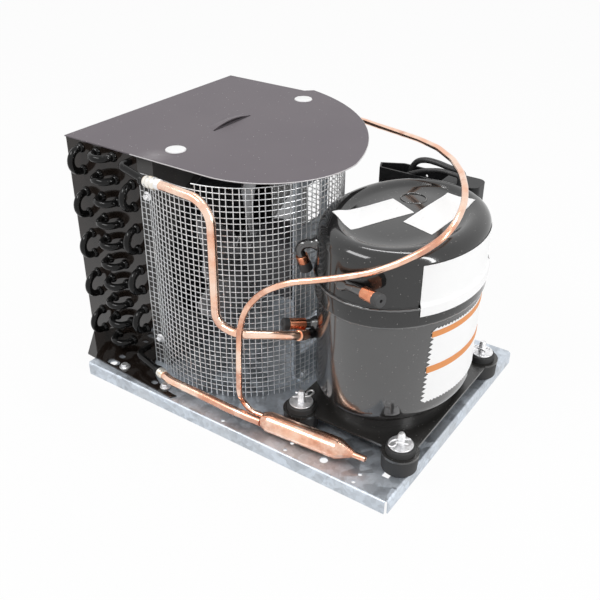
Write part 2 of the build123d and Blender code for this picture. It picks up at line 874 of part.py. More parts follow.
process_points = [(79.0, -53.5, 97.0), (54.8, -81.6, 102.5)]
charging_points = [(141.0, -103.5, 186.0), (187.0, -118.5, 190.0)]
suction_points = [(79.0, -52.0, 187.0), (62.9, -64.0, 186.0), (66.9, -54.0, 156.0)]
discharge_entry = [(79.0, -50.5, 80.0), (77.0, -85.0, 94.0)]
upper_stub_planes = [pipe_plane(charging_points, stub_inside), pipe_plane(suction_points, stub_inside)]
terminal_y = shell_y + dome_half_y - terminal_sink
terminal_plane = Plane(origin=(terminal_x, terminal_y, terminal_z), z_dir=(0, 1, 0))

with BuildPart() as lower_cavity:
    with BuildSketch(Plane.XY.offset(shell_bottom + shell_wall)):
        oval(shell_half_x - shell_wall, shell_half_y - shell_wall)
    extrude(amount=seam_top - shell_bottom)
    fillet(lower_cavity.faces().sort_by(Axis.Z)[0].edges(), shell_round - shell_wall)

with BuildPart() as lower_shell:
    with BuildSketch(Plane.XY.offset(shell_bottom)):
        oval(shell_half_x, shell_half_y)
    extrude(amount=seam_top - lap_back - shell_bottom)
    fillet(lower_shell.faces().sort_by(Axis.Z)[0].edges(), shell_round)
    add(lower_cavity.part, mode=Mode.SUBTRACT)
    for points, radius in (
        (process_points, stub_dia / 2 + stub_collar),
        (discharge_entry, discharge_dia / 2),
    ):
        with BuildSketch(pipe_plane(points, stub_inside)):
            Circle(radius)
        extrude(amount=stub_inside + stub_cut, mode=Mode.SUBTRACT)
save(lower_shell, "compressor_lower_shell")

with BuildPart() as upper_shell:
    with BuildSketch(Plane.XY.offset(seam_bottom)):
        oval(shell_half_x + seam_step, shell_half_y + seam_step)
    extrude(amount=seam_top - seam_bottom)
    chamfer(upper_shell.edges().group_by(Axis.Z)[-1], seam_step / 2)
    with BuildSketch(Plane.XY.offset(seam_top - dome_sink)):
        oval(dome_half_x, dome_half_y)
    extrude(amount=dome_top - seam_top + dome_sink)
    fillet(upper_shell.faces().sort_by(Axis.Z)[-1].edges(), dome_round)
    with BuildSketch(Plane.XY.offset(dome_top - dome_recess)):
        oval(dome_half_x - dome_rim, dome_half_y - dome_rim)
    extrude(amount=dome_recess, mode=Mode.SUBTRACT)
    with BuildSketch(Plane.XY.offset(seam_bottom)):
        oval(shell_half_x, shell_half_y)
    extrude(amount=seam_top - lap_back - seam_bottom, mode=Mode.SUBTRACT)
    with BuildSketch(Plane.XY.offset(seam_bottom)):
        oval(shell_half_x - shell_wall, shell_half_y - shell_wall)
    extrude(amount=dome_top - dome_recess - shell_wall - seam_bottom, mode=Mode.SUBTRACT)
    for plane in upper_stub_planes:
        with BuildSketch(plane):
            Circle(stub_dia / 2 + stub_collar)
        extrude(amount=stub_inside + stub_cut, mode=Mode.SUBTRACT)
    with BuildSketch(terminal_plane):
        Circle(terminal_radius)
    extrude(amount=terminal_depth, mode=Mode.SUBTRACT)
save(upper_shell, "compressor_upper_shell")

foot_places = [
    (foot_x + i * foot_span_x / 2, shell_y + j * foot_span_y / 2) for i in (-1, 1) for j in (-1, 1)
]
with BuildPart() as foot_pan:
    with BuildSketch(Plane.XY.offset(pan_top - pan_sheet)):
        with Locations((foot_x, shell_y)):
            Rectangle(foot_span_x + 2 * pan_overhang_right, foot_span_y + 2 * pan_margin_y)
        with Locations(*foot_places):
            Circle(pan_pad_radius)
        with Locations(*foot_places):
            Circle(grommet_neck, mode=Mode.SUBTRACT)
    extrude(amount=pan_sheet)
    with BuildSketch(Plane.XY.offset(pan_top)):
        oval(shell_half_x - shell_round + pan_ring, shell_half_y - shell_round + pan_ring)
        oval(shell_half_x - shell_round, shell_half_y - shell_round)
    extrude(amount=shell_bottom - pan_top)
save(foot_pan, "foot_pan")

with BuildPart() as grommets:
    with BuildSketch():
        with Locations(*foot_places):
            Circle(grommet_radius)
    extrude(amount=pan_top - pan_sheet)
    with BuildSketch(Plane.XY.offset(pan_top - pan_sheet)):
        with Locations(*foot_places):
            Circle(grommet_neck)
    extrude(amount=pan_sheet)
    with BuildSketch(Plane.XY.offset(pan_top)):
        with Locations(*foot_places):
            Circle(grommet_neck + grommet_collar)
    extrude(amount=grommet_top - pan_top)
    with BuildSketch():
        with Locations(*foot_places):
            Circle(stud_dia / 2 + stud_fit)
    extrude(amount=grommet_top, mode=Mode.SUBTRACT)
save(grommets, "foot_grommets")

with BuildPart() as studs:
    with BuildSketch():
        with Locations(*foot_places):
            Circle(stud_dia / 2)
    extrude(amount=stud_top)
    with BuildSketch(Plane.XY.offset(stud_top)):
        with Locations(*foot_places):
            Circle(stud_dia / 2)
    extrude(amount=stud_tip, taper=stud_tip_taper)
    for x, y in foot_places:
        with BuildSketch(Plane(origin=(x, y, stud_top - clip_drop), z_dir=(0, 1, 0))):
            Circle(clip_wire / 2)
        extrude(amount=stud_dia, both=True, mode=Mode.SUBTRACT)
save(studs, "foot_studs")

with BuildPart() as hairpin_clips:
    for x, y in foot_places:
        with BuildLine(Plane(origin=(x, y, stud_top - clip_drop))) as wire:
            FilletPolyline((0, -clip_back), (0, clip_front), (clip_gap, clip_front), (clip_gap, -clip_back),
                           radius=clip_gap / 2 - clip_fit)
        with BuildSketch(Plane(origin=(x, y - clip_back, stud_top - clip_drop), z_dir=(0, 1, 0))):
            Circle(clip_wire / 2 - clip_fit)
        sweep(path=wire.line)
save(hairpin_clips, "hairpin_clips")

with BuildPart() as foot_washers:
    with BuildSketch(Plane.XY.offset(grommet_top)):
        with Locations(*foot_places):
            Circle(washer_radius)
            Circle(stud_dia / 2 + stud_fit, mode=Mode.SUBTRACT)
    extrude(amount=washer_sheet)
save(foot_washers, "foot_washers")


# Pipe stubs on the shell: tubes in collars, each with a swaged mouth that a rubber plug closes

def mouth_of(points, plug):
    """Place and direction of a stub's mouth, which lies a plug's length before its last point."""
    direction = unit(points[-2], points[-1])
    return Vector(*points[-1]) - direction * plug, direction


def stub_piece(points, name, band, plug):
    """A stub from inside the shell, with a collar at the wall and a wider, bored band at its mouth."""
    inner = Vector(*points[0]) - unit(points[0], points[1]) * stub_inside
    mouth, direction = mouth_of(points, plug)
    bar = round_pipe([tuple(inner)] + points[1:-1] + [tuple(mouth)], stub_dia, stub_bend)
    with BuildPart() as stub:
        add(bar.part)
        with BuildSketch(pipe_plane(points, stub_inside)):
            Circle(stub_dia / 2 + stub_collar)
        extrude(amount=stub_inside + stub_collar_length)
        with BuildSketch(Plane(origin=mouth - direction * band, z_dir=direction)):
            Circle(band_dia / 2)
        extrude(amount=band)
        with BuildSketch(Plane(origin=mouth - direction * rubber_depth, z_dir=direction)):
            Circle(rubber_shank / 2)
        extrude(amount=rubber_depth, mode=Mode.SUBTRACT)
    save(stub, name)


def plug_piece(points, name, plug):
    """The rubber plug of a stub: a head with a rounded rim, and a shank in the stub's bore."""
    mouth, direction = mouth_of(points, plug)
    with BuildPart() as rubber:
        with BuildSketch(Plane(origin=mouth, z_dir=direction)):
            Circle(rubber_head / 2)
        extrude(amount=plug + rubber_crown)
        fillet(rubber.faces().sort_by(Axis(mouth, direction))[-1].edges(), rubber_round)
        with BuildSketch(Plane(origin=mouth - direction * rubber_depth, z_dir=direction)):
            Circle(rubber_shank / 2)
        extrude(amount=rubber_depth)
    save(rubber, name)


for points, kind, band, plug in (
    (process_points, "process", process_band, process_plug),
    (charging_points, "charging", charging_band, charging_plug),
    (suction_points, "suction", suction_band, suction_plug),
):
    stub_piece(points, f"{kind}_stub", band, plug)
    plug_piece(points, f"{kind}_cap", plug)


# Compressor's inner works: motor, crank and cylinder, drawn at the piston's top position

def works_at(*offsets):
    """Locations counted from the crank's centre."""
    return Locations(*[(shell_x + x, shell_y + y) for x, y in offsets])


spring_bottom = shell_bottom + shell_wall
with BuildPart() as spring_cups:
    with BuildSketch(Plane.XY.offset(spring_bottom)):
        with works_at((0, 0)):
            with GridLocations(spring_span, spring_span, 2, 2):
                Circle(spring_radius)
                Circle(spring_radius - spring_wall, mode=Mode.SUBTRACT)
    extrude(amount=works_stator_bottom - spring_bottom)
save(spring_cups, "spring_cups")

works_stator_top = works_stator_bottom + works_stator_height
with BuildPart() as compressor_stator:
    with BuildSketch(Plane.XY.offset(works_stator_bottom)):
        with works_at((0, 0)):
            Circle(works_stator_radius)
            Circle(works_rotor_radius + works_gap, mode=Mode.SUBTRACT)
    extrude(amount=works_stator_height)
save(compressor_stator, "compressor_stator")

with BuildPart() as crank_rotor:
    with BuildSketch(Plane.XY.offset(works_stator_bottom)):
        with works_at((0, 0)):
            Circle(works_rotor_radius)
            Circle(crank_dia / 2, mode=Mode.SUBTRACT)
    extrude(amount=works_rotor_height)
save(crank_rotor, "crank_rotor")

with BuildPart() as crankshaft:
    with BuildSketch(Plane.XY.offset(crank_bottom)):
        with works_at((0, 0)):
            Circle(crank_dia / 2)
    extrude(amount=web_bottom - crank_bottom)
    with BuildSketch(Plane.XY.offset(web_bottom)):
        with works_at((0, -web_shift)):
            Circle(web_radius)
    extrude(amount=web_height)
save(crankshaft, "crankshaft")

block_top = block_bottom + block_sheet
cylinder_top = cylinder_z + cylinder_side / 2
cylinder_mouth = (shell_x, shell_y + cylinder_start, cylinder_z)
cylinder_plane = Plane(origin=cylinder_mouth, x_dir=(1, 0, 0), z_dir=(0, 1, 0))
with BuildPart() as cylinder_block:
    with BuildSketch(Plane.XY.offset(block_bottom)):
        with works_at((0, 0)):
            Circle(block_radius)
    extrude(amount=block_sheet)
    with BuildSketch(Plane.XY.offset(works_stator_top)):
        with works_at((0, 0)):
            with GridLocations(block_leg_span, block_leg_span, 2, 2):
                Circle(block_leg_radius)
    extrude(amount=block_bottom - works_stator_top)
    with BuildSketch(Plane.XY.offset(block_bottom - block_hub_drop)):
        with works_at((0, 0)):
            Circle(block_hub_radius)
    extrude(amount=block_hub_drop)
    with BuildSketch(Plane.XY.offset(block_top)):
        with works_at((0, (cylinder_start + cylinder_end) / 2)):
            Rectangle(cylinder_side, cylinder_end - cylinder_start)
    extrude(amount=cylinder_top - block_top)
    with BuildSketch(cylinder_plane):
        Circle(piston_dia / 2 + piston_clearance)
    extrude(amount=cylinder_end - cylinder_start, mode=Mode.SUBTRACT)
    with BuildSketch(Plane.XY.offset(block_bottom - block_hub_drop)):
        with works_at((0, 0)):
            Circle(crank_dia / 2 + crank_clearance)
    extrude(amount=block_sheet + block_hub_drop, mode=Mode.SUBTRACT)
save(cylinder_block, "cylinder_block")

with BuildPart() as valve_plate:
    with BuildSketch(cylinder_plane.offset(cylinder_end - cylinder_start)):
        Rectangle(cylinder_side, cylinder_side)
    extrude(amount=valve_plate_sheet)
save(valve_plate, "valve_plate")

with BuildPart() as cylinder_head:
    with BuildSketch(cylinder_plane.offset(cylinder_end - cylinder_start + valve_plate_sheet)):
        RectangleRounded(cylinder_side, cylinder_side, head_round)
    extrude(amount=head_depth)
    fillet(cylinder_head.faces().sort_by(Axis.Y)[-1].edges(), head_edge)
save(cylinder_head, "cylinder_head")

rod_bottom = cylinder_z - rod_height / 2
with BuildPart() as connecting_rod:
    with BuildSketch(Plane.XY.offset(rod_bottom)):
        with works_at((0, throw)):
            Circle(rod_big_end / 2)
        with works_at((0, throw + rod_length)):
            Circle(rod_small_end / 2)
        with works_at((0, throw + rod_length / 2)):
            Rectangle(rod_width, rod_length)
        with works_at((0, throw)):
            Circle(pin_dia / 2, mode=Mode.SUBTRACT)
        with works_at((0, throw + rod_length)):
            Circle(wrist_dia / 2, mode=Mode.SUBTRACT)
    extrude(amount=rod_height)
save(connecting_rod, "connecting_rod")

pin_bottom = web_bottom + web_height + pin_lift
with BuildPart() as crank_pin:
    with BuildSketch(Plane.XY.offset(pin_bottom)):
        with works_at((0, throw)):
            Circle(pin_dia / 2)
    extrude(amount=pin_top - pin_bottom)
save(crank_pin, "crank_pin")

with BuildPart() as wrist_pin:
    with BuildSketch(Plane.XY.offset(cylinder_z - wrist_length / 2)):
        with works_at((0, throw + rod_length)):
            Circle(wrist_dia / 2)
    extrude(amount=wrist_length)
save(wrist_pin, "wrist_pin")

with BuildPart() as piston:
    with BuildSketch(cylinder_plane.offset(throw + rod_length - piston_length / 2 - cylinder_start)):
        Circle(piston_dia / 2)
    extrude(amount=piston_length)
    with BuildSketch(Plane.XY.offset(rod_bottom - slot_clearance)):
        with works_at((0, throw + rod_length)):
            Circle(rod_small_end / 2 + slot_clearance)
        with works_at((0, throw + rod_length - piston_length / 2)):
            Rectangle(rod_small_end + 2 * slot_clearance, piston_length)
    extrude(amount=rod_height + 2 * slot_clearance, mode=Mode.SUBTRACT)
    with BuildSketch(Plane.XY.offset(cylinder_z - wrist_length / 2)):
        with works_at((0, throw + rod_length)):
            Circle(wrist_dia / 2)
    extrude(amount=wrist_length, mode=Mode.SUBTRACT)
save(piston, "piston")


# Coil's inlet and outlet tubes, bent out of the coil

inlet_points = [
    (rows_x[-1], coil_near, top_tube_z),
    (rows_x[-1], coil_near - header_reach, top_tube_z),
    (rows_x[-1] + header_run, coil_near - header_reach - header_step, top_tube_z - header_drop),
]
outlet_points = [
    (rows_x[-1], coil_near, tube_bottom),
    (rows_x[-1], coil_near - outlet_reach, tube_bottom),
    (rows_x[-1] + outlet_run, coil_near - outlet_reach - outlet_step, tube_bottom - outlet_drop),
]
for points, name in ((inlet_points, "coil_inlet"), (outlet_points, "coil_outlet")):
    save(round_pipe(points, tube_dia, header_bend), name)


# Filter drier: a copper cartridge with shoulders and an open service stub

drier_start = (69.0, -134.0, 14.0)
drier_end = (187.0, -126.0, 14.0)
drier_axis = unit(drier_start, drier_end)
drier_side = Vector(0, 0, 1).cross(drier_axis)
drier_length = (Vector(*drier_end) - Vector(*drier_start)).length
drier_profile_plane = Plane(origin=drier_start, x_dir=(0, 0, 1), z_dir=drier_side)
with BuildPart() as filter_drier:
    with BuildSketch(drier_profile_plane):
        with BuildLine():
            Polyline(
                (0, 0),
                (drier_dia / 2 - drier_nose_step, 0),
                (drier_dia / 2, drier_nose),
                (drier_dia / 2, drier_length - drier_shoulder),
                (drier_stub / 2, drier_length - drier_stub_length),
                (drier_stub / 2, drier_length),
                (drier_stub / 2 - drier_stub_wall, drier_length),
                (drier_stub / 2 - drier_stub_wall, drier_length - drier_bore_depth),
                (0, drier_length - drier_bore_depth),
                (0, 0),
            )
        make_face()
    revolve(axis=Axis(drier_start, drier_profile_plane.y_dir))
save(filter_drier, "filter_drier")


def drier_port(side, back):
    """A point on a line out of the drier's blunt end, off its axis by side and back from the end."""
    point = Vector(*drier_start) + drier_side * side - drier_axis * back
    return point.X, point.Y, point.Z


# Copper lines

discharge_route = [
    inlet_points[-1],
    beyond(inlet_points, inlet_run_on),
    (-75.0, -124.0, 239.0),
    (-37.0, -128.5, 243.0),
    (8.0, -129.5, 240.0),
    (8.0, -129.5, 108.0),
    (35.0, -129.5, 104.0),
    discharge_entry[1],
    beyond(discharge_entry[::-1], stub_inside),
]
outlet_route = [
    outlet_points[-1],
    beyond(outlet_points, outlet_run_on),
    (-50.0, -137.0, 14.3),
    (-10.0, -139.0, 14.0),
    (28.0, -140.5, 14.2),
    drier_port(-drier_port_offset, outlet_port_run),
    drier_port(-drier_port_offset, 0),
]
liquid_route = [
    drier_port(drier_port_offset, 0),
    drier_port(drier_port_offset, liquid_port_run),
    (41.0, -131.5, 24.0),
    (44.5, -141.5, 42.0),
    (46.5, -142.5, 84.0),
    (48.0, -142.0, 120.0),
    (55.0, -141.0, 146.0),
    (73.0, -137.5, 170.0),
    (99.0, -129.5, 185.0),
    (122.0, -119.8, 190.0),
    (145.5, -112.5, 197.5),
    (169.0, -105.5, 206.0),
    (190.0, -96.5, 217.5),
    (209.0, -84.5, 231.0),
    (220.0, -69.0, 241.5),
    (221.5, -49.0, 250.0),
    (216.0, -24.0, 256.5),
    (205.5, -1.5, 260.5),
    (190.0, 25.0, 261.5),
    (168.0, 53.0, 261.0),
    (137.0, 83.0, 258.0),
    (101.0, 109.0, 252.5),
    (65.0, 131.0, 246.5),
    (30.0, 151.0, 241.0),
    (-5.0, 171.0, 236.0),
    (-38.0, 183.5, 229.5),
    (-64.0, 187.5, 226.0),
    (-64.0, 187.5, 196.0),
]
for route, diameter, largest, name in (
    (discharge_route, discharge_dia, discharge_bend, "discharge_line"),
    (outlet_route, outlet_dia, outlet_bend, "outlet_line"),
    (liquid_route, liquid_dia, liquid_bend, "liquid_line"),
):
    save(round_pipe(route, diameter, largest), name)


# Electrical parts behind the compressor, carried by the sealed terminal in the shell

with BuildPart() as sealed_terminal:
    with BuildSketch(terminal_plane):
        Circle(terminal_radius)
    extrude(amount=terminal_depth + box_wall)
    with BuildSketch(terminal_plane.offset(terminal_depth + box_wall)):
        with PolarLocations(terminal_pin_circle, 3):
            Circle(terminal_pin)
    extrude(amount=terminal_pin_length)
save(sealed_terminal, "sealed_terminal")

with BuildPart() as electrical_box:
    with BuildSketch(Plane.XY.offset(box_bottom)):
        Polygon(*box_plan, align=None)
    extrude(amount=box_top - box_bottom)
    with BuildSketch(Plane.XY.offset(box_bottom + box_wall)):
        Polygon(*box_plan, align=None)
        offset(amount=-box_wall, kind=Kind.INTERSECTION)
    extrude(amount=box_top - box_bottom, mode=Mode.SUBTRACT)
    with BuildSketch(Plane(origin=(box_hole_mid, box_back_y - box_wall, box_hole_z), z_dir=(0, 1, 0))):
        with GridLocations(box_hole_step, box_hole_step, box_hole_count, 1):
            Circle(box_hole / 2)
    extrude(amount=box_wall, mode=Mode.SUBTRACT)
save(electrical_box, "electrical_box")

terminal_cover_mid = ((box_right + terminal_cover_right) / 2, (box_front_y + terminal_cover_back) / 2)
terminal_cover_width = terminal_cover_right - box_right
terminal_cover_depth = terminal_cover_back - box_front_y
with BuildPart() as box_cover:
    with BuildSketch(Plane.XY.offset(box_bottom)):
        with Locations(terminal_cover_mid):
            Rectangle(terminal_cover_width, terminal_cover_depth)
    extrude(amount=box_top + terminal_cover_rise - box_bottom)
    fillet(box_cover.edges().filter_by(Axis.Z).sort_by(Axis.X)[-2:], terminal_cover_round)
    with BuildSketch(Plane.XY.offset(box_bottom + box_wall)):
        with Locations(terminal_cover_mid):
            RectangleRounded(terminal_cover_width - 2 * box_wall, terminal_cover_depth - 2 * box_wall,
                             terminal_cover_round - box_wall)
    extrude(amount=box_top + terminal_cover_rise - box_bottom - 2 * box_wall, mode=Mode.SUBTRACT)
    with BuildSketch(terminal_plane):
        Circle(terminal_radius)
    extrude(amount=terminal_depth + box_wall, mode=Mode.SUBTRACT)
save(box_cover, "box_cover")

with BuildPart() as start_relay:
    with BuildSketch(Plane.XY.offset(box_bottom + box_wall)):
        with Locations(relay_place):
            RectangleRounded(relay_size[0], relay_size[1], relay_corner)
    extrude(amount=relay_size[2])
save(start_relay, "start_relay")

with BuildPart() as start_capacitor:
    with BuildSketch(Plane.XY.offset(box_bottom + box_wall)):
        with Locations(capacitor_place):
            Circle(capacitor_radius)
    extrude(amount=capacitor_height)
save(start_capacitor, "start_capacitor")

relay_top = box_bottom + box_wall + relay_size[2]
terminal_cover_top = box_top + terminal_cover_rise
thick_route = [
    (92.0, 116.0, relay_top),
    (92.0, 116.0, 214.0),
    (100.0, 114.0, 226.0),
    (113.0, 112.0, 230.5),
    (127.0, 112.0, 229.5),
    (142.0, 112.0, 227.0),
    (156.0, 113.0, 225.0),
    (156.0, 113.0, terminal_cover_top),
]
thin_route = [
    (86.0, 106.0, relay_top),
    (86.0, 105.0, 206.0),
    (98.7, 104.0, 214.0),
    (113.4, 104.0, 221.0),
    (134.2, 104.0, 225.7),
    (156.0, 104.0, 224.0),
    (156.0, 104.0, terminal_cover_top),
]
with BuildPart() as wire_loop:
    for route, diameter in ((thick_route, thick_wire), (thin_route, thin_wire)):
        add(round_pipe(route, diameter, wire_bend).part)
save(wire_loop, "wire_loop")
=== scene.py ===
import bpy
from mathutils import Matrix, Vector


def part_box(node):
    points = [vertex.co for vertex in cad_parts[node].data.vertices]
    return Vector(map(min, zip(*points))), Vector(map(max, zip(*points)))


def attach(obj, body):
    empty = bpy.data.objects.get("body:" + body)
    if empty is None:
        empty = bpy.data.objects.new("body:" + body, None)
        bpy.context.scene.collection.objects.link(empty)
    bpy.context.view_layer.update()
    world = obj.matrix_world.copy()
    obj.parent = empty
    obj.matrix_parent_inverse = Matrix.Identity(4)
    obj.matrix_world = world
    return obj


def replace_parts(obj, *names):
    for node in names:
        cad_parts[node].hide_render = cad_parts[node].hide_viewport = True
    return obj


bl_info = {
    "name": "Condensing Unit Looks",
    "version": (1, 0, 0),
    "blender": (4, 5, 0),
    "location": "View3D > Sidebar > Condensing Unit",
    "description": "Finished surfaces for a refrigeration condensing unit on its packed frame",
    "category": "Object",
}

import math

import bmesh
import bpy
import numpy as np
from bpy.props import FloatProperty, IntProperty, PointerProperty
from mathutils import Matrix, Vector

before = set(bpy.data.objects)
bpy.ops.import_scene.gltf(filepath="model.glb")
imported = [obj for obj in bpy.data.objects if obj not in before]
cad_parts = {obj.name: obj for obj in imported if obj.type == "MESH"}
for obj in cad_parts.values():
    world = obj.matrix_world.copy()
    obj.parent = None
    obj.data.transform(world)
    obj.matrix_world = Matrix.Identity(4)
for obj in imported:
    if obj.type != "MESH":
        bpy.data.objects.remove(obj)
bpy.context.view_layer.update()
MM = 0.001

# Places that the frame gives, in millimetres


def node_box(node):
    """Lowest and highest corner of a frame node, in millimetres."""
    low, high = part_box(node)
    return np.array(low) / MM, np.array(high) / MM


SHELL_LOW, SHELL_HIGH = node_box("compressor_lower_shell")
SHELL_MID = (SHELL_LOW + SHELL_HIGH) / 2
SHELL_HALF_X = (SHELL_HIGH[0] - SHELL_LOW[0]) / 2
SHELL_HALF_Y = (SHELL_HIGH[1] - SHELL_LOW[1]) / 2
COIL_LOW, COIL_HIGH = node_box("coil_tubes")
COVER_TOP = node_box("plate_plugs")[0][2] + 1.2
FLOOR_Z = node_box("base_pan")[0][2]
STUD_LOW, STUD_HIGH = node_box("foot_studs")
STUD_RADIUS = 4.0
FOOT_X = (STUD_LOW[0] + STUD_RADIUS, STUD_HIGH[0] - STUD_RADIUS)
FOOT_Y = (STUD_LOW[1] + STUD_RADIUS, STUD_HIGH[1] - STUD_RADIUS)
UP = (0.0, 0.0, 1.0)


# Mesh making

def full_turn(count):
    """Angles that divide a whole turn into equal steps."""
    return np.linspace(0, 2 * math.pi, count + 1)[:-1]


class Skin:
    """Grids of points gathered into one mesh."""

    def __init__(self):
        self.points = []
        self.faces = []
        self.count = 0

    def add(self, points, faces):
        """Adds points of shape (n, 3) and faces that index them."""
        self.points.append(np.asarray(points, float))
        self.faces.append(np.asarray(faces) + self.count)
        self.count += len(points)

    def grid(self, points, wrap=False):
        """Quads in a grid of shape (rows, columns, 3); wrap joins the last column to the first."""
        rows, columns = points.shape[:2]
        index = np.arange(rows * columns).reshape(rows, columns)
        if wrap:
            index = np.hstack([index, index[:, :1]])
        quads = np.stack([index[:-1, :-1], index[:-1, 1:], index[1:, 1:], index[1:, :-1]], -1).reshape(-1, 4)
        self.add(points.reshape(-1, 3), quads)

    def sheet(self, front, back):
        """A thin sheet: its front, its back turned round, and a rim between them."""
        self.grid(front)
        self.grid(back[:, ::-1])
        for edge in ((0, slice(None)), (-1, slice(None)), (slice(None), 0), (slice(None), -1)):
            self.grid(np.stack([front[edge], back[edge]]))

    def turned(self, *values, **options):
        """A surface of revolution, with its seam closed."""
        self.grid(lathe(*values, **options), wrap=True)

    def make(self, name, finish, slot, body="unit", smooth=True, angle=40.0, clean=True):
        """The finished object, in metres, with its doubles merged and its normals pointing outwards."""
        mesh = bpy.data.meshes.new(name)
        faces = [face for block in self.faces for face in block.tolist()]
        mesh.from_pydata(np.vstack(self.points) * MM, [], faces)
        if clean:
            work = bmesh.new()
            work.from_mesh(mesh)
            bmesh.ops.remove_doubles(work, verts=work.verts, dist=2e-6)
            bmesh.ops.dissolve_degenerate(work, edges=work.edges, dist=1e-7)
            bmesh.ops.recalc_face_normals(work, faces=work.faces)
            work.to_mesh(mesh)
            work.free()
        mesh.materials.append(finish)
        piece = bpy.data.objects.new(name, mesh)
        bpy.context.scene.collection.objects.link(piece)
        if smooth:
            mesh.shade_smooth()
            mesh.set_sharp_from_angle(angle=math.radians(angle))
        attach(piece, body)
        return piece


def unit_rows(vectors):
    """Each row of an array of vectors, at length 1."""
    return vectors / np.maximum(np.linalg.norm(vectors, axis=-1, keepdims=True), 1e-12)


def rounded(points, radii, turn_step=8.0):
    """A polyline whose corners are tangent arcs of the given radii, or of the one radius for all."""
    points = np.asarray(points, float)
    radii = np.broadcast_to(radii, len(points) - 2)
    out = [points[:1]]
    for before, corner, after, radius in zip(points, points[1:], points[2:], radii):
        back, ahead = unit_rows(before - corner), unit_rows(after - corner)
        turn = math.pi - math.acos(float(np.clip(back @ ahead, -1, 1)))
        if radius < 1e-6 or turn < 1e-3:
            out.append(corner[None])
            continue
        reach = radius * math.tan(turn / 2)
        middle = corner + unit_rows(back + ahead) * radius / math.cos(turn / 2)
        start, end = corner + back * reach - middle, corner + ahead * reach - middle
        share = np.linspace(0, 1, max(2, int(math.degrees(turn) / turn_step) + 2))[:, None]
        arc = np.sin((1 - share) * turn) * start + np.sin(share * turn) * end
        out.append(middle + arc / math.sin(turn))
    out.append(points[-1:])
    return np.vstack(out)


def bend_radii(points, largest):
    """One radius for each corner of a pipe: 0.45 of its shorter run, but at most the bender's own."""
    points = np.asarray(points, float)
    runs = np.linalg.norm(np.diff(points, axis=0), axis=1)
    steps = unit_rows(np.diff(points, axis=0))
    turn = np.arccos(np.clip((steps[:-1] * steps[1:]).sum(1), -1, 1))
    return np.minimum(largest, 0.45 * np.minimum(runs[:-1], runs[1:]) / np.tan(turn / 2))


def pipe_path(points, largest):
    """A pipe's centre line: straight runs joined by tangent arcs."""
    return rounded(points, bend_radii(points, largest), 5.0)


def tube(path, radius, sides=24, skew=(0.6, -0.6, 0.5)):
    """Rings of points square to a path: centre + radius * (cos * side + sin * up) at each point."""
    path = np.asarray(path, float)
    radius = np.broadcast_to(radius, len(path))
    along = unit_rows(np.gradient(path, axis=0))
    side = unit_rows(np.cross(along, np.asarray(skew)))
    up = np.cross(along, side)
    angle = full_turn(sides)
    ring = np.cos(angle)[None, :, None] * side[:, None] + np.sin(angle)[None, :, None] * up[:, None]
    return path[:, None] + radius[:, None, None] * ring


def closed_tube(skin, path, radius, sides=24):
    """A tube with flat ends, each closed by a ring drawn in to its centre."""
    path = np.asarray(path, float)
    rings = tube(path, radius, sides)
    first, last = (np.broadcast_to(path[end], rings[:1].shape) for end in (0, -1))
    skin.grid(np.vstack([first, rings, last]), wrap=True)


def hoop(skin, path, radius, sides=10):
    """A tube along a path whose end meets its start."""
    rings = tube(np.vstack([path[-1:], path, path[:1]]), radius, sides, UP)[1:-1]
    skin.grid(np.concatenate([rings, rings[:1]]), wrap=True)


def lathe(profile, origin, axis, sides=48):
    """A surface of revolution: profile rows are (radius, height along the axis)."""
    profile = np.asarray(profile, float)
    axis = unit_rows(np.asarray(axis, float))
    helper = np.array((0.0, 0.0, 1.0)) if abs(axis[2]) < 0.9 else np.array((1.0, 0.0, 0.0))
    side = unit_rows(np.cross(helper, axis))
    up = np.cross(axis, side)
    angle = full_turn(sides)
    ring = np.cos(angle)[:, None] * side + np.sin(angle)[:, None] * up
    return np.asarray(origin, float) + profile[:, :1, None] * ring[None] + profile[:, 1:, None] * axis


def soft_profile(points, radii, turn_step=15.0):
    """A lathe profile whose inner corners are rounded to these radii."""
    flat = np.column_stack([np.asarray(points, float), np.zeros(len(points))])
    return rounded(flat, radii, turn_step)[:, :2]


def oval_rings(profile, sides=128):
    """The compressor's oval swept up its profile: rows are (offset from the shell's oval, height)."""
    angle = full_turn(sides)
    offset, height = profile[:, :1], profile[:, 1:]
    x = SHELL_MID[0] + np.maximum(SHELL_HALF_X + offset, 0) * np.cos(angle)
    y = SHELL_MID[1] + np.maximum(SHELL_HALF_Y + offset, 0) * np.sin(angle)
    return np.stack([x, y, np.broadcast_to(height, x.shape)], -1)


def oval_close(offset, height, rise, steps=8):
    """Rings that close an oval towards its centre: the last ring's size times a share from 1 to 0."""
    share = np.linspace(1, 0, steps)[:, None, None]
    ring = oval_rings(np.array([(offset, height)], float))
    middle = np.array((SHELL_MID[0], SHELL_MID[1], height))
    return middle + (ring - middle) * share + np.array((0.0, 0.0, rise)) * (1 - share**2)


def box_skin(skin, low, high):
    """A box from its low to its high corner."""
    low, high = np.asarray(low, float), np.asarray(high, float)
    pick = np.array([(i, j, k) for i in (0, 1) for j in (0, 1) for k in (0, 1)])
    skin.add(low + pick * (high - low), [
        (0, 1, 3, 2), (4, 6, 7, 5), (0, 4, 5, 1), (2, 3, 7, 6), (0, 2, 6, 4), (1, 5, 7, 3)])


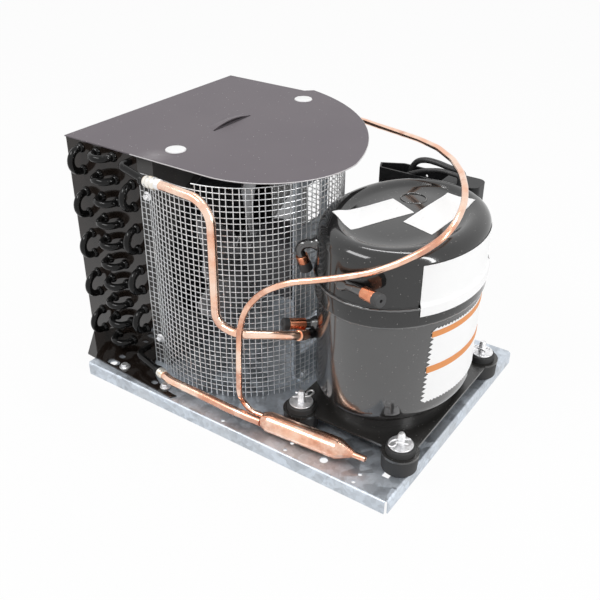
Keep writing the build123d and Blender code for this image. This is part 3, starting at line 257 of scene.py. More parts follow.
def many_tubes(skin, paths, radius, sides=6, up=UP):
    """The same number of points along many wires at once, each swept by a small polygon."""
    along = unit_rows(np.gradient(paths, axis=1))
    side = unit_rows(np.cross(along, np.asarray(up)))
    rise = np.cross(along, side)
    angle = full_turn(sides)
    ring = np.cos(angle)[:, None] * side[:, :, None] + np.sin(angle)[:, None] * rise[:, :, None]
    points = paths[:, :, None] + radius * ring
    count, rows = paths.shape[:2]
    index = np.arange(count * rows * sides).reshape(count, rows, sides)
    index = np.concatenate([index, index[:, :, :1]], 2)
    quads = np.stack([index[:, :-1, :-1], index[:, :-1, 1:], index[:, 1:, 1:], index[:, 1:, :-1]], -1)
    base = skin.count
    skin.add(points.reshape(-1, 3), quads.reshape(-1, 4))
    for row in (0, -1):
        for polygon in index[:, row, :-1]:
            skin.faces.append(polygon[None] + base)


# Shader maths

class Wire:
    """A node's output, or a number, on which Python's operators add Math nodes."""

    def __init__(self, paint, socket):
        self.paint = paint
        self.socket = socket

    def maths(self, operation, first, second):
        """One Math node with this operation."""
        return self.paint.node("ShaderNodeMath", {"operation": operation}, {0: first, 1: second})

    def __add__(self, other):
        return self.maths("ADD", self, other)

    __radd__ = __add__

    def __mul__(self, other):
        return self.maths("MULTIPLY", self, other)

    __rmul__ = __mul__

    def __sub__(self, other):
        return self.maths("SUBTRACT", self, other)

    def __rsub__(self, other):
        return self.maths("SUBTRACT", other, self)

    def above(self, level, soft):
        """0 below the level and 1 above it, over a soft step."""
        return self.paint.node("ShaderNodeMapRange", {"interpolation_type": "SMOOTHSTEP"},
                               {0: self, 1: level - soft, 2: level + soft, 3: 0.0, 4: 1.0})


class Paint:
    """The nodes of one material, on Object coordinates, or of the world."""

    def __init__(self, name, world=False):
        self.output = "ShaderNodeOutputWorld" if world else "ShaderNodeOutputMaterial"
        self.block = (bpy.data.worlds if world else bpy.data.materials).new(name)
        self.block.use_nodes = True
        self.tree = self.block.node_tree
        self.tree.nodes.clear()
        self.place = self.node("ShaderNodeTexCoord", {}, {}, "Object")

    def node(self, kind, settings, inputs, output=0):
        """A node with its settings made first and its sockets given values or links."""
        made = self.tree.nodes.new(kind)
        for key, value in settings.items():
            setattr(made, key, value)
        for key, value in inputs.items():
            if isinstance(value, Wire):
                self.tree.links.new(value.socket, made.inputs[key])
            else:
                made.inputs[key].default_value = value
        return None if output is None else Wire(self, made.outputs[output])

    def noise(self, scale, detail=3.0, rough=0.55):
        """Fractal noise from 0 to 1, in cycles per metre."""
        return self.node("ShaderNodeTexNoise", {}, {
            "Vector": self.place, "Scale": scale, "Detail": detail, "Roughness": rough})

    def cells(self, scale):
        """Distance to the middle of the nearest Voronoi cell."""
        return self.node("ShaderNodeTexVoronoi", {}, {"Vector": self.place, "Scale": scale}, "Distance")

    def lots(self, scale):
        """Each Voronoi cell's own random number."""
        colour = self.node("ShaderNodeTexVoronoi", {}, {"Vector": self.place, "Scale": scale}, "Color")
        return self.node("ShaderNodeSeparateColor", {}, {0: colour})

    def mix(self, share, first, second):
        """Two colours mixed by a share."""
        return self.node("ShaderNodeMix", {"data_type": "RGBA"}, {0: share, 6: first, 7: second}, 2)

    def bump(self, height, strength, distance):
        """A normal bent by a height."""
        return self.node("ShaderNodeBump", {}, {"Height": height, "Strength": strength, "Distance": distance})

    def spot(self, middle, radius, soft):
        """1 inside a ball round a place in metres and 0 outside it, over a soft step."""
        away = self.node("ShaderNodeVectorMath", {"operation": "DISTANCE"}, {0: self.place, 1: middle}, 1)
        return 1.0 - away.above(radius, soft)

    def close(self, surface):
        """The finished material or world, with this surface."""
        self.node(self.output, {}, {"Surface": surface}, None)
        return self.block

    def finish(self, **inputs):
        """Closes the material with a Principled surface."""
        names = {key.replace("_", " ").title().replace("Ior", "IOR"): value for key, value in inputs.items()}
        return self.close(self.node("ShaderNodeBsdfPrincipled", {}, names))


def rgb(red, green, blue):
    """A colour with full alpha."""
    return (red, green, blue, 1.0)


def specks(paint, scale, size):
    """A few pale specks: cells whose own random number is high, near their centres."""
    near = 1.0 - paint.cells(scale).above(size, size * 0.3)
    return near * paint.lots(scale).above(0.82, 0.02)


def gloss_black(name, colour, rough, dust, shine=0.3, peel=0.08, coat=0.0, low=False):
    """Black enamel: orange peel, uneven gloss, a little dust, and a clear coat that can lie low down only."""
    paint = Paint(name)
    cloud = paint.noise(26.0, 4.0)
    dirt = specks(paint, 420.0, 0.14) * dust
    film = paint.noise(9.0, 5.0, 0.6).above(0.56, 0.16)
    base = paint.mix(film * 0.5, rgb(*colour), rgb(*(c * 1.9 + 0.004 for c in colour)))
    base = paint.mix(dirt, base, rgb(0.5, 0.49, 0.47))
    if low:
        coat = paint.spot(COAT_FOOT, 0.05, 0.22) * coat
    return paint.finish(base_color=base, roughness=cloud * 0.14 + rough + dirt * 0.3,
                        normal=paint.bump(paint.noise(620.0, 2.0), peel, 0.0004), specular_ior_level=shine,
                        coat_weight=coat, coat_ior=1.9, coat_roughness=0.02)


def cover_paint(name):
    """Dark grey paint with a violet cast, fine grain, specks and one scuffed patch near the front."""
    paint = Paint(name)
    grain = paint.noise(900.0, 2.0, 0.6)
    drift = paint.noise(7.0, 3.0)
    base = paint.mix(drift.above(0.5, 0.2), rgb(0.108, 0.092, 0.106), rgb(0.124, 0.107, 0.119))
    base = paint.mix(grain * 0.35, base, rgb(0.165, 0.147, 0.160))
    scuff = paint.spot(SCUFF, 0.009, 0.014) * paint.noise(120.0, 4.0, 0.6)
    pale = scuff * 0.35 + specks(paint, 260.0, 0.10) * 0.8
    base = paint.mix(pale, base, rgb(0.72, 0.70, 0.70))
    return paint.finish(base_color=base, roughness=grain * 0.2 + 0.42, specular_ior_level=0.35,
                        normal=paint.bump(grain, 0.15, 0.0003))


def galvanised(name, tint=(0.58, 0.63, 0.69), spangle=75.0, rough=0.36):
    """Zinc coating: flat crystals, each with its own brightness and gloss, under fine rolling grain."""
    paint = Paint(name)
    crystal, fine = paint.lots(spangle), paint.lots(spangle * 3.1)
    stain = paint.noise(14.0, 5.0, 0.65).above(0.55, 0.14)
    bright = crystal * 0.55 + fine * 0.45
    base = paint.mix(bright, rgb(*(c * 0.72 for c in tint)), rgb(*(min(1.0, c * 1.25) for c in tint)))
    base = paint.mix(stain * 0.5, base, rgb(0.66, 0.69, 0.72))
    grain = paint.bump(bright, 0.06, 0.0004)
    return paint.finish(base_color=base, metallic=0.85, roughness=crystal * 0.22 + rough, normal=grain)


def bare_copper(name, heat=0.0, deep=(0.93, 0.54, 0.38), pale=(0.98, 0.74, 0.60)):
    """Drawn copper: pink to orange, with darker tarnish in clouds and fine drawing lines."""
    paint = Paint(name)
    cloud = paint.noise(38.0, 4.0, 0.6)
    tarnish = paint.noise(16.0, 5.0, 0.65).above(0.57 - heat, 0.09)
    base = paint.mix(cloud.above(0.5, 0.16), rgb(*deep), rgb(*pale))
    base = paint.mix(tarnish * 0.7, base, rgb(0.56, 0.20, 0.11))
    lines = paint.noise(260.0, 2.0, 0.5)
    return paint.finish(base_color=base, metallic=1.0, roughness=lines * 0.10 + 0.10 + tarnish * 0.14,
                        normal=paint.bump(lines, 0.06, 0.0003))


def burnt_braze(name):
    """A brazed joint: silver alloy over heated copper, with straw and blue tints."""
    paint = Paint(name)
    flow = paint.noise(90.0, 4.0, 0.6)
    tint = paint.noise(150.0, 3.0)
    base = paint.mix(flow.above(0.5, 0.08), rgb(0.84, 0.70, 0.52), rgb(0.93, 0.90, 0.84))
    base = paint.mix(tint.above(0.60, 0.06) * 0.8, base, rgb(0.24, 0.27, 0.33))
    return paint.finish(base_color=base, metallic=0.85, roughness=tint * 0.3 + 0.2,
                        normal=paint.bump(flow, 0.35, 0.0008))


def zinc_plate(name, rough=0.26):
    """Bright zinc plating with faint wear."""
    paint = Paint(name)
    wear = paint.noise(240.0, 3.0)
    base = paint.mix(wear.above(0.55, 0.1), rgb(0.93, 0.93, 0.94), rgb(0.74, 0.74, 0.75))
    return paint.finish(base_color=base, metallic=0.9, roughness=wear * 0.25 + rough)


def black_rubber(name, level=0.018, rough=0.55):
    """Moulded rubber: matt black with fine grain."""
    paint = Paint(name)
    grain = paint.noise(700.0, 3.0)
    base = paint.mix(grain * 0.6, rgb(level, level, level), rgb(level * 2.6, level * 2.6, level * 2.7))
    return paint.finish(base_color=base, roughness=grain * 0.2 + rough, normal=paint.bump(grain, 0.2, 0.0002))


def plain(name, colour, rough, metal=0.0, vary=0.15, scale=120.0):
    """One colour with slight cloudy variation of colour and gloss."""
    paint = Paint(name)
    cloud = paint.noise(scale, 3.0)
    base = paint.mix(cloud * vary, rgb(*colour), rgb(*(c * 0.55 for c in colour)))
    return paint.finish(base_color=base, metallic=metal, roughness=cloud * 0.15 + rough)


SCUFF = (-0.0932, -0.0943, 0.2532)
COAT_FOOT = (-0.155, -0.105, 0.0)
FINISH = {}
# What makes each finish, and its values in the order that its function takes them
RECIPES = {
    "shell_black": (gloss_black, (0.014, 0.013, 0.013), 0.07, 0.5, 1.0, 0.05, 0.4),
    "dome_black": (gloss_black, (0.010, 0.010, 0.010), 0.05, 0.6, 0.4, 0.05, 0.25),
    "bead_black": (gloss_black, (0.010, 0.010, 0.010), 0.05, 0.2, 1.0, 0.05, 0.9),
    "coil_black": (gloss_black, (0.004, 0.004, 0.004), 0.05, 0.2, 0.25, 0.03),
    "plate_black": (gloss_black, (0.014, 0.010, 0.008), 0.04, 0.1, 0.3, 0.02, 0.8, True),
    "pan_black": (gloss_black, (0.020, 0.019, 0.018), 0.16, 0.3, 1.0),
    # Dark grey for the fan shroud: partly its own grey, partly painted shade for the shadow inside the guard
    "shroud_grey_and_shade": (gloss_black, (0.060, 0.058, 0.057), 0.30, 0.3),
    "cover_grey": (cover_paint,),
    "pan_zinc": (galvanised,),
    "guard_zinc": (galvanised, (0.80, 0.80, 0.80), 300.0, 0.30),
    "bracket_zinc": (galvanised, (0.46, 0.50, 0.54), 90.0, 0.38),
    "copper": (bare_copper,),
    "copper_hot": (bare_copper, 0.08),
    "copper_red": (bare_copper, 0.12, (0.80, 0.26, 0.13), (0.92, 0.46, 0.28)),
    "braze": (burnt_braze,),
    "zinc": (zinc_plate,),
    "rubber": (black_rubber,),
    "cap_rubber": (black_rubber, 0.035, 0.5),
    "wire_black": (black_rubber, 0.02, 0.32),
    "label_white": (plain, (0.95, 0.95, 0.95), 0.5, 0.0, 0.03, 40.0),
    "plug_white": (plain, (0.88, 0.88, 0.88), 0.4, 0.0, 0.05, 90.0),
    "blade_metal": (plain, (0.34, 0.34, 0.35), 0.34, 0.9, 0.2, 60.0),
    "fin_dark": (plain, (0.10, 0.10, 0.105), 0.42, 0.6, 0.3, 90.0),
    "motor_dark": (plain, (0.06, 0.06, 0.065), 0.42, 0.3, 0.3, 90.0),
    "steel": (plain, (0.52, 0.52, 0.53), 0.34, 0.95, 0.25, 200.0),
    "iron": (plain, (0.16, 0.16, 0.17), 0.55, 0.5, 0.3, 200.0),
    "box_black": (gloss_black, (0.012, 0.012, 0.013), 0.32, 0.3),
    "label_orange": (plain, (0.78, 0.30, 0.09), 0.45, 0.0, 0.1, 60.0),
    # Pale grey for the line along the top plate's front edge: a painted highlight
    "edge_highlight": (plain, (0.62, 0.60, 0.61), 0.4, 0.3, 0.3, 300.0),
}


def make_finishes():
    """All materials of the unit, by their plain names."""
    for name, (maker, *values) in RECIPES.items():
        FINISH[name] = maker(name, *values)


# The frame's nodes that show each finish; any other is replaced or shell_black
NODES_IN = {
    "pan_zinc": "base_pan",
    "plate_black": "end_plate_near end_plate_far",
    "shroud_grey_and_shade": "fan_shroud",
    "cover_grey": "top_plate",
    "bracket_zinc": "motor_bracket",
    "pan_black": "foot_pan",
    "copper": "coil_tubes motor_winding",
    "steel": "fan_hub fan_shaft sealed_terminal crankshaft valve_plate "
             "connecting_rod crank_pin wrist_pin piston spring_cups",
    "iron": "fan_rotor fan_stator compressor_stator crank_rotor cylinder_block cylinder_head",
    "box_black": "start_relay start_capacitor electrical_box box_cover",
    "zinc": "bracket_screws",
}


def dress_nodes():
    """Every frame node gets its finish; nodes that a new piece replaces are hidden later."""
    finishes = {node: finish for finish, nodes in NODES_IN.items() for node in nodes.split()}
    for node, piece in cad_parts.items():
        piece.data.materials.clear()
        piece.data.materials.append(FINISH[finishes.get(node, "shell_black")])


# Compressor

# Offsets from the lower shell's oval, and heights
SHELL_FOOT = 30.0
SHELL_LIP = 152.0
SKIRT_FOOT = 149.5
UPPER_OFFSET = 1.2
SKIRT_OFFSET = 3.2
DOME_EDGE = (-36.0, 218.6)
DOME_RISE = 0.8
SEAM_BEADS = ((1.2, 149.2, 1.5), (2.7, 168.0, 1.2))


def shell_profiles():
    """Lower and upper shell as (offset, height) rows: skirt over the seam, raised rim and shallow top."""
    lower = soft_profile([(-30, SHELL_FOOT), (0, SHELL_FOOT), (0, SHELL_LIP)], [18.0])
    lower = np.vstack([lower, [(-3, SHELL_LIP)]])
    upper = soft_profile([(-3, SKIRT_FOOT), (SKIRT_OFFSET, SKIRT_FOOT), (SKIRT_OFFSET, 166.0),
                          (UPPER_OFFSET, 169.5), (UPPER_OFFSET, 217.0), (-13, 224.6), (-24, 219.6),
                          DOME_EDGE],
                         [0.9, 2.2, 1.5, 14.0, 14.0, 14.0])
    return lower, upper


def dome_height(x, y):
    """Height of the upper shell's top at places in plan.

    The offset from the shell's oval is found first, by steps of (ellipse value - 1) times the half width.
    """
    across, along = x - SHELL_MID[0], y - SHELL_MID[1]
    offset = np.full(np.shape(x), -25.0)
    for _ in range(12):
        value = np.hypot(across / (SHELL_HALF_X + offset), along / (SHELL_HALF_Y + offset))
        offset = np.clip(offset + 0.6 * SHELL_HALF_X * (value - 1), -70.0, 0.0)
    rows = shell_profiles()[1]
    rows = rows[np.argmax(rows[:, 1]):][::-1]
    share = np.minimum((SHELL_HALF_X + offset) / (SHELL_HALF_X + DOME_EDGE[0]), 1.0)
    return np.interp(offset, rows[:, 0], rows[:, 1]) + DOME_RISE * (1 - share**2)


def build_compressor():
    """Oval shells and the two beads of their weld seam."""
    lower, upper = shell_profiles()
    skin = Skin()
    skin.grid(np.vstack([oval_close(-30, SHELL_FOOT, 0)[::-1], oval_rings(lower)]), wrap=True)
    piece = skin.make("shell_lower", FINISH["shell_black"], "black_paint")
    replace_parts(piece, "compressor_lower_shell")

    skin = Skin()
    skin.grid(np.vstack([oval_rings(upper), oval_close(*DOME_EDGE, DOME_RISE)]), wrap=True)
    piece = skin.make("shell_upper", FINISH["dome_black"], "black_paint", angle=60)
    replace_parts(piece, "compressor_upper_shell")

    skin = Skin()
    angle = full_turn(240)
    wobble = 0.25 * np.sin(angle * 61) + 0.15 * np.sin(angle * 23 + 1)
    for out, height, radius in SEAM_BEADS:
        x = SHELL_MID[0] + (SHELL_HALF_X + out + wobble) * np.cos(angle)
        y = SHELL_MID[1] + (SHELL_HALF_Y + out + wobble) * np.sin(angle)
        hoop(skin, np.stack([x, y, np.full_like(x, height)], -1), radius)
    skin.make("shell_weld", FINISH["bead_black"], "black_paint")


def build_feet():
    """Grommets, washers, studs and hairpin clips on the foot pan."""
    grommet, washer, stud, clip = Skin(), Skin(), Skin(), Skin()
    rubber = soft_profile([(0, 0), (18, 0), (18.6, 17.8), (15, 17.8), (15, 20.5), (14.5, 27), (0, 27)],
                          [1.5, 1.2, 0.3, 0.3, 1.5])
    disc = soft_profile([(4.3, 28.5), (4.3, 27.2), (12.5, 27.2), (12.5, 28.7), (4.3, 28.7), (4.3, 28.4)],
                        [0.2, 0.3, 0.5, 0.2])
    thread = [(STUD_RADIUS - 0.25 * (i % 2), 29.0 + i * 0.6) for i in range(17)]
    bolt = [(STUD_RADIUS, 0.0), (STUD_RADIUS, 28.5)] + thread + [(3.2, 40.5), (2.6, 41.6), (0, 41.8)]
    hairpin = [(-9, 0), (2, 0), (9, 1.5), (14, 7), (11, 12), (6, 8), (6.4, 4), (0, 5.4), (-6, 7.5)]
    for x, y in ((x, y) for x in FOOT_X for y in FOOT_Y):
        grommet.turned(rubber, (x, y, 0), UP)
        washer.turned(disc, (x, y, 0), UP)
        stud.turned(bolt, (x, y, 0), UP, 24)
        turn = math.radians((205 if x > SHELL_MID[0] else 25) + (10 if y < 0 else -20))
        spread = np.array((math.cos(turn), math.sin(turn), 0.0))
        across = np.array((-spread[1], spread[0], 0.0))
        wire = np.array([(x, y, 34.0) + spread * s + across * a for s, a in hairpin])
        closed_tube(clip, rounded(wire, bend_radii(wire, 6.0), 12.0), 0.95, 10)
    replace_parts(grommet.make("foot_rubbers", FINISH["rubber"], "rubber"), "foot_grommets")
    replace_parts(washer.make("foot_washer_rings", FINISH["zinc"], "zinc"), "foot_washers")
    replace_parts(stud.make("foot_stud_threads", FINISH["zinc"], "zinc"), "foot_studs")
    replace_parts(clip.make("foot_hairpins", FINISH["zinc"], "zinc"), "hairpin_clips")


# Stubs, caps and pipes: the routes repeat those of the frame's model, in millimetres

ROWS_X = (-192.0, -168.0, -144.0, -120.0)
TUBES_Z = tuple(15.4 + 25.4 * i for i in range(10))
INLET = [(-120.0, -103.5, 244.0), (-120.0, -117.5, 244.0), (-79.0, -123.5, 239.0)]
OUTLET = [(-120.0, -103.5, 15.4), (-120.0, -122.0, 15.4), (-68.0, -135.5, 14.5)]
PIPE_RADIUS = 4.765
TUBE_RADIUS = 3.97
LIQUID_RADIUS = 3.175
STUB_RADIUS = 4.75
DRIER_START = np.array((69.0, -134.0, 14.0))
DRIER_END = np.array((187.0, -126.0, 14.0))
DRIER_AXIS = unit_rows(DRIER_END - DRIER_START)
DRIER_SIDE = np.cross(UP, DRIER_AXIS)
DISCHARGE_ENTRY = [np.array((77.0, -85.0, 94.0)), np.array((79.0, -50.5, 80.0))]


def beyond(points, run):
    """The point a run past the last, in line with the last run."""
    points = np.asarray(points, float)
    return points[-1] + unit_rows(points[-1] - points[-2]) * run


def drier_port(side, back):
    """A point on a line out of the drier's blunt end."""
    return DRIER_START + DRIER_SIDE * side - DRIER_AXIS * back


DISCHARGE = [INLET[-1], (-50, -128.5, 242.5), (8, -129.5, 240), (8, -129.5, 108),
             (35, -129.5, 104), DISCHARGE_ENTRY[0], beyond(DISCHARGE_ENTRY, 0.01)]
OUTLET_LINE = [OUTLET[-1], beyond(OUTLET, 14), (-10, -139, 14), (28, -140.5, 14.2),
               drier_port(-4.7, 16), drier_port(-4.7, 0)]
LIQUID_LINE = [drier_port(4.7, 0), drier_port(4.7, 18), (41, -131.5, 24), (44.5, -141.5, 42),
               (46.5, -142.5, 84), (48, -142, 120), (55, -141, 146), (73, -137.5, 170), (99, -129.5, 185),
               (122, -119.8, 190), (145.5, -112.5, 197.5), (169, -105.5, 206), (190, -96.5, 217.5),
               (209, -84.5, 231), (220, -69, 241.5), (221.5, -49, 250), (216, -24, 256.5),
               (205.5, -1.5, 260.5), (190, 25, 261.5), (168, 53, 261), (137, 83, 258), (101, 109, 252.5),
               (65, 131, 246.5), (30, 151, 241), (-5, 171, 236), (-38, 183.5, 229.5), (-64, 187.5, 226),
               (-64, 187.5, 196)]


def pipe_piece(name, points, radius, largest, finish, slot, node):
    """A bent pipe that replaces its frame node."""
    skin = Skin()
    closed_tube(skin, pipe_path(points, largest), radius, 28)
    piece = skin.make(name, FINISH[finish], slot)
    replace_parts(piece, node)


def sleeve(name, joint, ahead, span, radius, finish, bulge, slot="copper"):
    """A brazed sleeve along a pipe, thicker in its middle, with a rolled rim at each end.

    The span is where it starts and ends along the pipe from the joint.
    """
    share = np.linspace(0, 1, 25)
    length = span[1] - span[0]
    width = radius + bulge * np.sin(share * math.pi) ** 0.7 + 0.25 * np.sin(share * 19)
    skin = Skin()
    skin.turned([(0, 0), *zip(width, share * length), (0, length)], joint + ahead * span[0], ahead, 28)
    skin.make(name, FINISH[finish], slot)


def build_pipes():
    """Discharge, outlet and liquid lines with their brazed sleeves, and the filter drier."""
    pipe_piece("inlet_tube", INLET, TUBE_RADIUS, 14, "coil_black", "black_paint", "coil_inlet")
    pipe_piece("outlet_tube", OUTLET, TUBE_RADIUS, 14, "coil_black", "black_paint", "coil_outlet")
    pipe_piece("discharge_pipe", DISCHARGE, PIPE_RADIUS, 26, "copper", "copper", "discharge_line")
    pipe_piece("outlet_pipe", OUTLET_LINE, PIPE_RADIUS, 60, "copper_hot", "copper", "outlet_line")
    pipe_piece("liquid_pipe", LIQUID_LINE, LIQUID_RADIUS, 90, "copper", "copper", "liquid_line")
    joint, ahead = np.asarray(INLET[-1]), unit_rows(np.subtract(DISCHARGE[1], DISCHARGE[0]))
    sleeve("flare_inlet", joint, ahead, (-9, 1), 4.3, "coil_black", 1.6, "black_paint")
    sleeve("braze_inlet", joint, ahead, (0, 19), 5.6, "braze", 0.9)
    sleeve("ring_inlet", joint, ahead, (19, 25), 5.2, "zinc", 0.3)
    joint, ahead = DISCHARGE_ENTRY[0], DISCHARGE_ENTRY[1] - DISCHARGE_ENTRY[0]
    reach, ahead = np.linalg.norm(ahead), unit_rows(ahead)
    sleeve("discharge_socket", joint, ahead, (3, 16), 5.7, "copper", 0.2)
    sleeve("discharge_stub", joint, ahead, (15, reach + 3), 5.2, "shell_black", 0.1, "black_paint")
    joint, ahead = np.asarray(OUTLET[-1]), unit_rows(np.subtract(OUTLET[-1], OUTLET[-2]))
    sleeve("flare_outlet", joint, ahead, (-14, -6), 4.5, "coil_black", 1.0, "black_paint")
    sleeve("braze_outlet", joint, ahead, (-8, 2), 5.0, "braze", 0.7)
    length = np.linalg.norm(DRIER_END - DRIER_START)
    profile = soft_profile([(0, 0), (8.2, 0), (11, 8), (11, length - 30), (4.2, length - 15),
                            (3.2, length - 13), (3.2, length), (2.1, length), (2.1, length - 9),
                            (0, length - 9)],
                           [2.0, 6.0, 9.0, 2.0, 1.0, 0.3, 0.3, 0.2], 8.0)
    skin = Skin()
    skin.turned(profile, DRIER_START, DRIER_AXIS, 56)
    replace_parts(skin.make("drier_cartridge", FINISH["copper"], "copper", angle=50), "filter_drier")


STUBS = {
    "process": [(79.0, -53.5, 93.5), (58.0, -80.5, 99.0)],
    "charging": [(141.0, -103.5, 186.0), (187.0, -118.5, 190.0)],
    "suction": [(79.0, -52.0, 187.0), (62.9, -64.0, 186.0), (66.9, -54.0, 156.0)],
}
BAND_LENGTH = {"process": (18.0, 5.0), "charging": (15.0, 6.0), "suction": (9.0, 9.0)}


def build_stubs():
    """Black stubs on the shell, each with a bare copper band and a rubber plug in its end."""
    for name, points in STUBS.items():
        path = pipe_path(points, 11) if len(points) > 2 else np.asarray(points, float)
        start = path[0] - unit_rows(path[1] - path[0]) * 8
        skin = Skin()
        closed_tube(skin, np.vstack([start, path]), STUB_RADIUS, 24)
        flare = soft_profile([(4.6, -3), (9.0, -2), (7.2, 2.5), (5.2, 5.5), (4.7, 7)], [2.0, 2.0, 2.0])
        skin.turned(flare, path[0], path[1] - path[0], 24)
        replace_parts(skin.make(f"{name}_tube", FINISH["shell_black"], "copper"), f"{name}_stub")
        band, plug = BAND_LENGTH[name]
        along = unit_rows(path[-1] - path[-2])
        skin = Skin()
        ring = soft_profile([(4.7, -plug - band), (6.2, -plug - band), (6.2, -plug), (4.7, -plug)],
                            [0.5, 0.5])
        skin.turned(ring, path[-1], along, 32)
        skin.make(f"{name}_band", FINISH["copper_red"], "copper")
        skin = Skin()
        skin.turned(soft_profile([(0, -plug), (6.5, -plug), (6.8, 1.8), (1.6, 1.8), (1.4, -3.0), (0, -3.0)],
                                 [0.4, 1.2, 0.5, 0.3]), path[-1], along, 32)
        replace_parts(skin.make(f"{name}_plug", FINISH["cap_rubber"], "rubber"), f"{name}_cap")


# Coil

FIN_THICKNESS = 0.22
# How far inside the fin pack the dark sheet of painted shade stands
SHADE_SHEET_INSET = 8.0


def bend_path(x0, z0, x1, z1, y, out, straight):
    """A return bend's centre line: straight, half round, straight."""
    radius = math.hypot(x1 - x0, z1 - z0) / 2
    turn = np.linspace(0, math.pi, 19)[:, None]
    start, end = np.array((x0, 0.0, z0)), np.array((x1, 0.0, z1))
    arc = (start + end) / 2 + (start - end) / 2 * np.cos(turn)
    arc[:, 1] += y + out * (straight + radius * np.sin(turn[:, 0]))
    return np.vstack([[(x0, y, z0)], arc, [(x1, y, z1)]])


def build_coil(settings):
    """Return bends with their belled ends, and the fins as single sheets in front of a dark sheet of painted
    shade.
    """
    x, z = ROWS_X, TUBES_Z
    near = [(x[0], z[i], x[0], z[i + 1]) for i in range(0, 10, 2)]
    near += [(x[1], h, x[2], h) for h in z] + [(x[3], z[i], x[3], z[i + 1]) for i in range(1, 9, 2)]
    far = [(x[0], h, x[1], h) for h in z] + [(x[2], h, x[3], h) for h in z]
    chance = np.random.default_rng(7)
    for name, ends, y, out, node in (("bends_near", near, COIL_LOW[1], -1, "return_bends_near"),
                                     ("bends_far", far, COIL_HIGH[1], 1, "return_bends_far")):
        skin = Skin()
        bell = soft_profile([(3.9, 0.0), (5.9, 0.3), (5.5, 1.4), (4.7, 3.0), (3.9, 3.8)], [0.4, 0.8, 0.8])
        for x0, z0, x1, z1 in ends:
            path = bend_path(x0, z0, x1, z1, y, out, settings.bend_straight / MM)
            path[2:-2] += chance.normal(0, settings.bend_waver / MM, 3)
            skin.grid(tube(path, TUBE_RADIUS, 18, (0.57, 0.1, -0.61)), wrap=True)
            for cx, cz in ((x0, z0), (x1, z1)):
                skin.turned(bell, (cx, y, cz), (0, out, 0), 18)
        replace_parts(skin.make(name, FINISH["coil_black"], "black_paint"), node)

    low, high = node_box("fin_pack")
    skin = Skin()
    for y in np.arange(low[1] + 1.2, high[1] - 0.8, settings.fin_step / MM):
        box_skin(skin, (low[0], y, low[2]), (high[0], y + FIN_THICKNESS, high[2]))
    # A dark sheet across the fin pack: painted shade for the dark depth of the coil behind the fins
    box_skin(skin, (low[0] + SHADE_SHEET_INSET, low[1], low[2] + SHADE_SHEET_INSET),
             (low[0] + SHADE_SHEET_INSET + 1, high[1], high[2] - SHADE_SHEET_INSET))
    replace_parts(skin.make("fin_sheets", FINISH["fin_dark"], "fins", smooth=False, clean=False), "fin_pack")


# Guard, fan and motor

GUARD_RADIUS = 107.0
GUARD_X = -41.5
GUARD_Y = -12.0
GUARD_LEG_Y = -104.7
GUARD_START_X = -108.0
GUARD_END_X = -88.0
GUARD_TOP = 248.0
GUARD_STEPS = (85.0, 50.0)
# Share of a wire's width by which the middles of uprights and hoops lie off the guard's plan
WELD_SHARE = 0.42


def guard_plan(s, out):
    """Points at lengths s along the guard's plan: a leg on the shroud, a round part, and a straight back."""
    rise = GUARD_LEG_Y - GUARD_Y
    run = math.sqrt(GUARD_RADIUS**2 - rise**2)
    leg = GUARD_X - run - GUARD_START_X
    first = math.atan2(rise, -run)
    arc = GUARD_RADIUS * (math.pi / 2 - first)
    angle = first + (s - leg) / GUARD_RADIUS
    x = np.where(s < leg, GUARD_START_X + s, GUARD_X + (GUARD_RADIUS + out) * np.cos(angle))
    y = np.where(s < leg, GUARD_LEG_Y - out, GUARD_Y + (GUARD_RADIUS + out) * np.sin(angle))
    x = np.where(s > leg + arc, GUARD_X - (s - leg - arc), x)
    y = np.where(s > leg + arc, GUARD_Y + GUARD_RADIUS + out, y)
    return x, y, leg + arc + GUARD_X - GUARD_END_X


def build_guard(settings):
    """Square wire mesh: uprights outside, hoops inside, welded where they cross, a little out of true.

    The corner on the coil's side is lower in steps: there the uprights end early and the top hoops begin
    behind it.
    """
    pitch, wire, waver = settings.pitch / MM, settings.wire / MM, settings.waver / MM
    length = guard_plan(np.zeros(1), 0)[2]
    chance = np.random.default_rng(11)
    places = np.arange(wire / 2, length - 0.4, pitch)
    tops = GUARD_TOP - pitch * (places[:, None] < np.array(GUARD_STEPS)).sum(1)
    heights = 0.6 + np.linspace(0, 1, 14)[None] * (tops[:, None] - 1.2)
    drift = waver * np.sin(heights / 31 + chance.uniform(0, 6, len(places))[:, None])
    x, y, _ = guard_plan(places[:, None] + drift, wire * WELD_SHARE)
    skin = Skin()
    many_tubes(skin, np.stack([x, y, heights], -1), wire / 2, 6, (0.9, 0.43, 0.0))
    piece = skin.make("guard_upright_wires", FINISH["guard_zinc"], "galvanised", clean=False)
    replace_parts(piece, "guard_uprights")

    levels = np.arange(GUARD_TOP - wire / 2, wire / 2, -pitch)
    starts = np.zeros((len(levels), 1))
    starts[:len(GUARD_STEPS), 0] = GUARD_STEPS
    steps = starts + (length - starts) * np.linspace(0, 1, 110)
    sag = waver * np.sin(steps / 47 + chance.uniform(0, 6, len(levels))[:, None])
    x, y, _ = guard_plan(steps, -wire * WELD_SHARE)
    skin = Skin()
    many_tubes(skin, np.stack([x, y, np.clip(levels[:, None] + sag, 0.5, None)], -1), wire / 2, 6)
    piece = skin.make("guard_hoop_wires", FINISH["guard_zinc"], "galvanised", clean=False)
    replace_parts(piece, "guard_hoops")


def hexagon_screw(skin, place, axis, washer, across):
    """A washer-faced hexagon screw with a rounded crown."""
    skin.turned(soft_profile([(0, 0), (washer, 0), (washer, 1.1), (0, 1.3)], [0.3, 0.3]), place, axis, 28)
    skin.turned([(0, 1.0), (across, 1.0), (across, 3.6), (across * 0.86, 4.4), (across * 0.3, 4.5), (0, 4.2)],
                place, axis, 6)


SCREW_INSET = 4.5
SCREW_SHIFT = 4.0
FOOT_SCREWS = ((-128.0, -136.7), (-64.0, -138.1))
FOOT_SHEET = 1.5


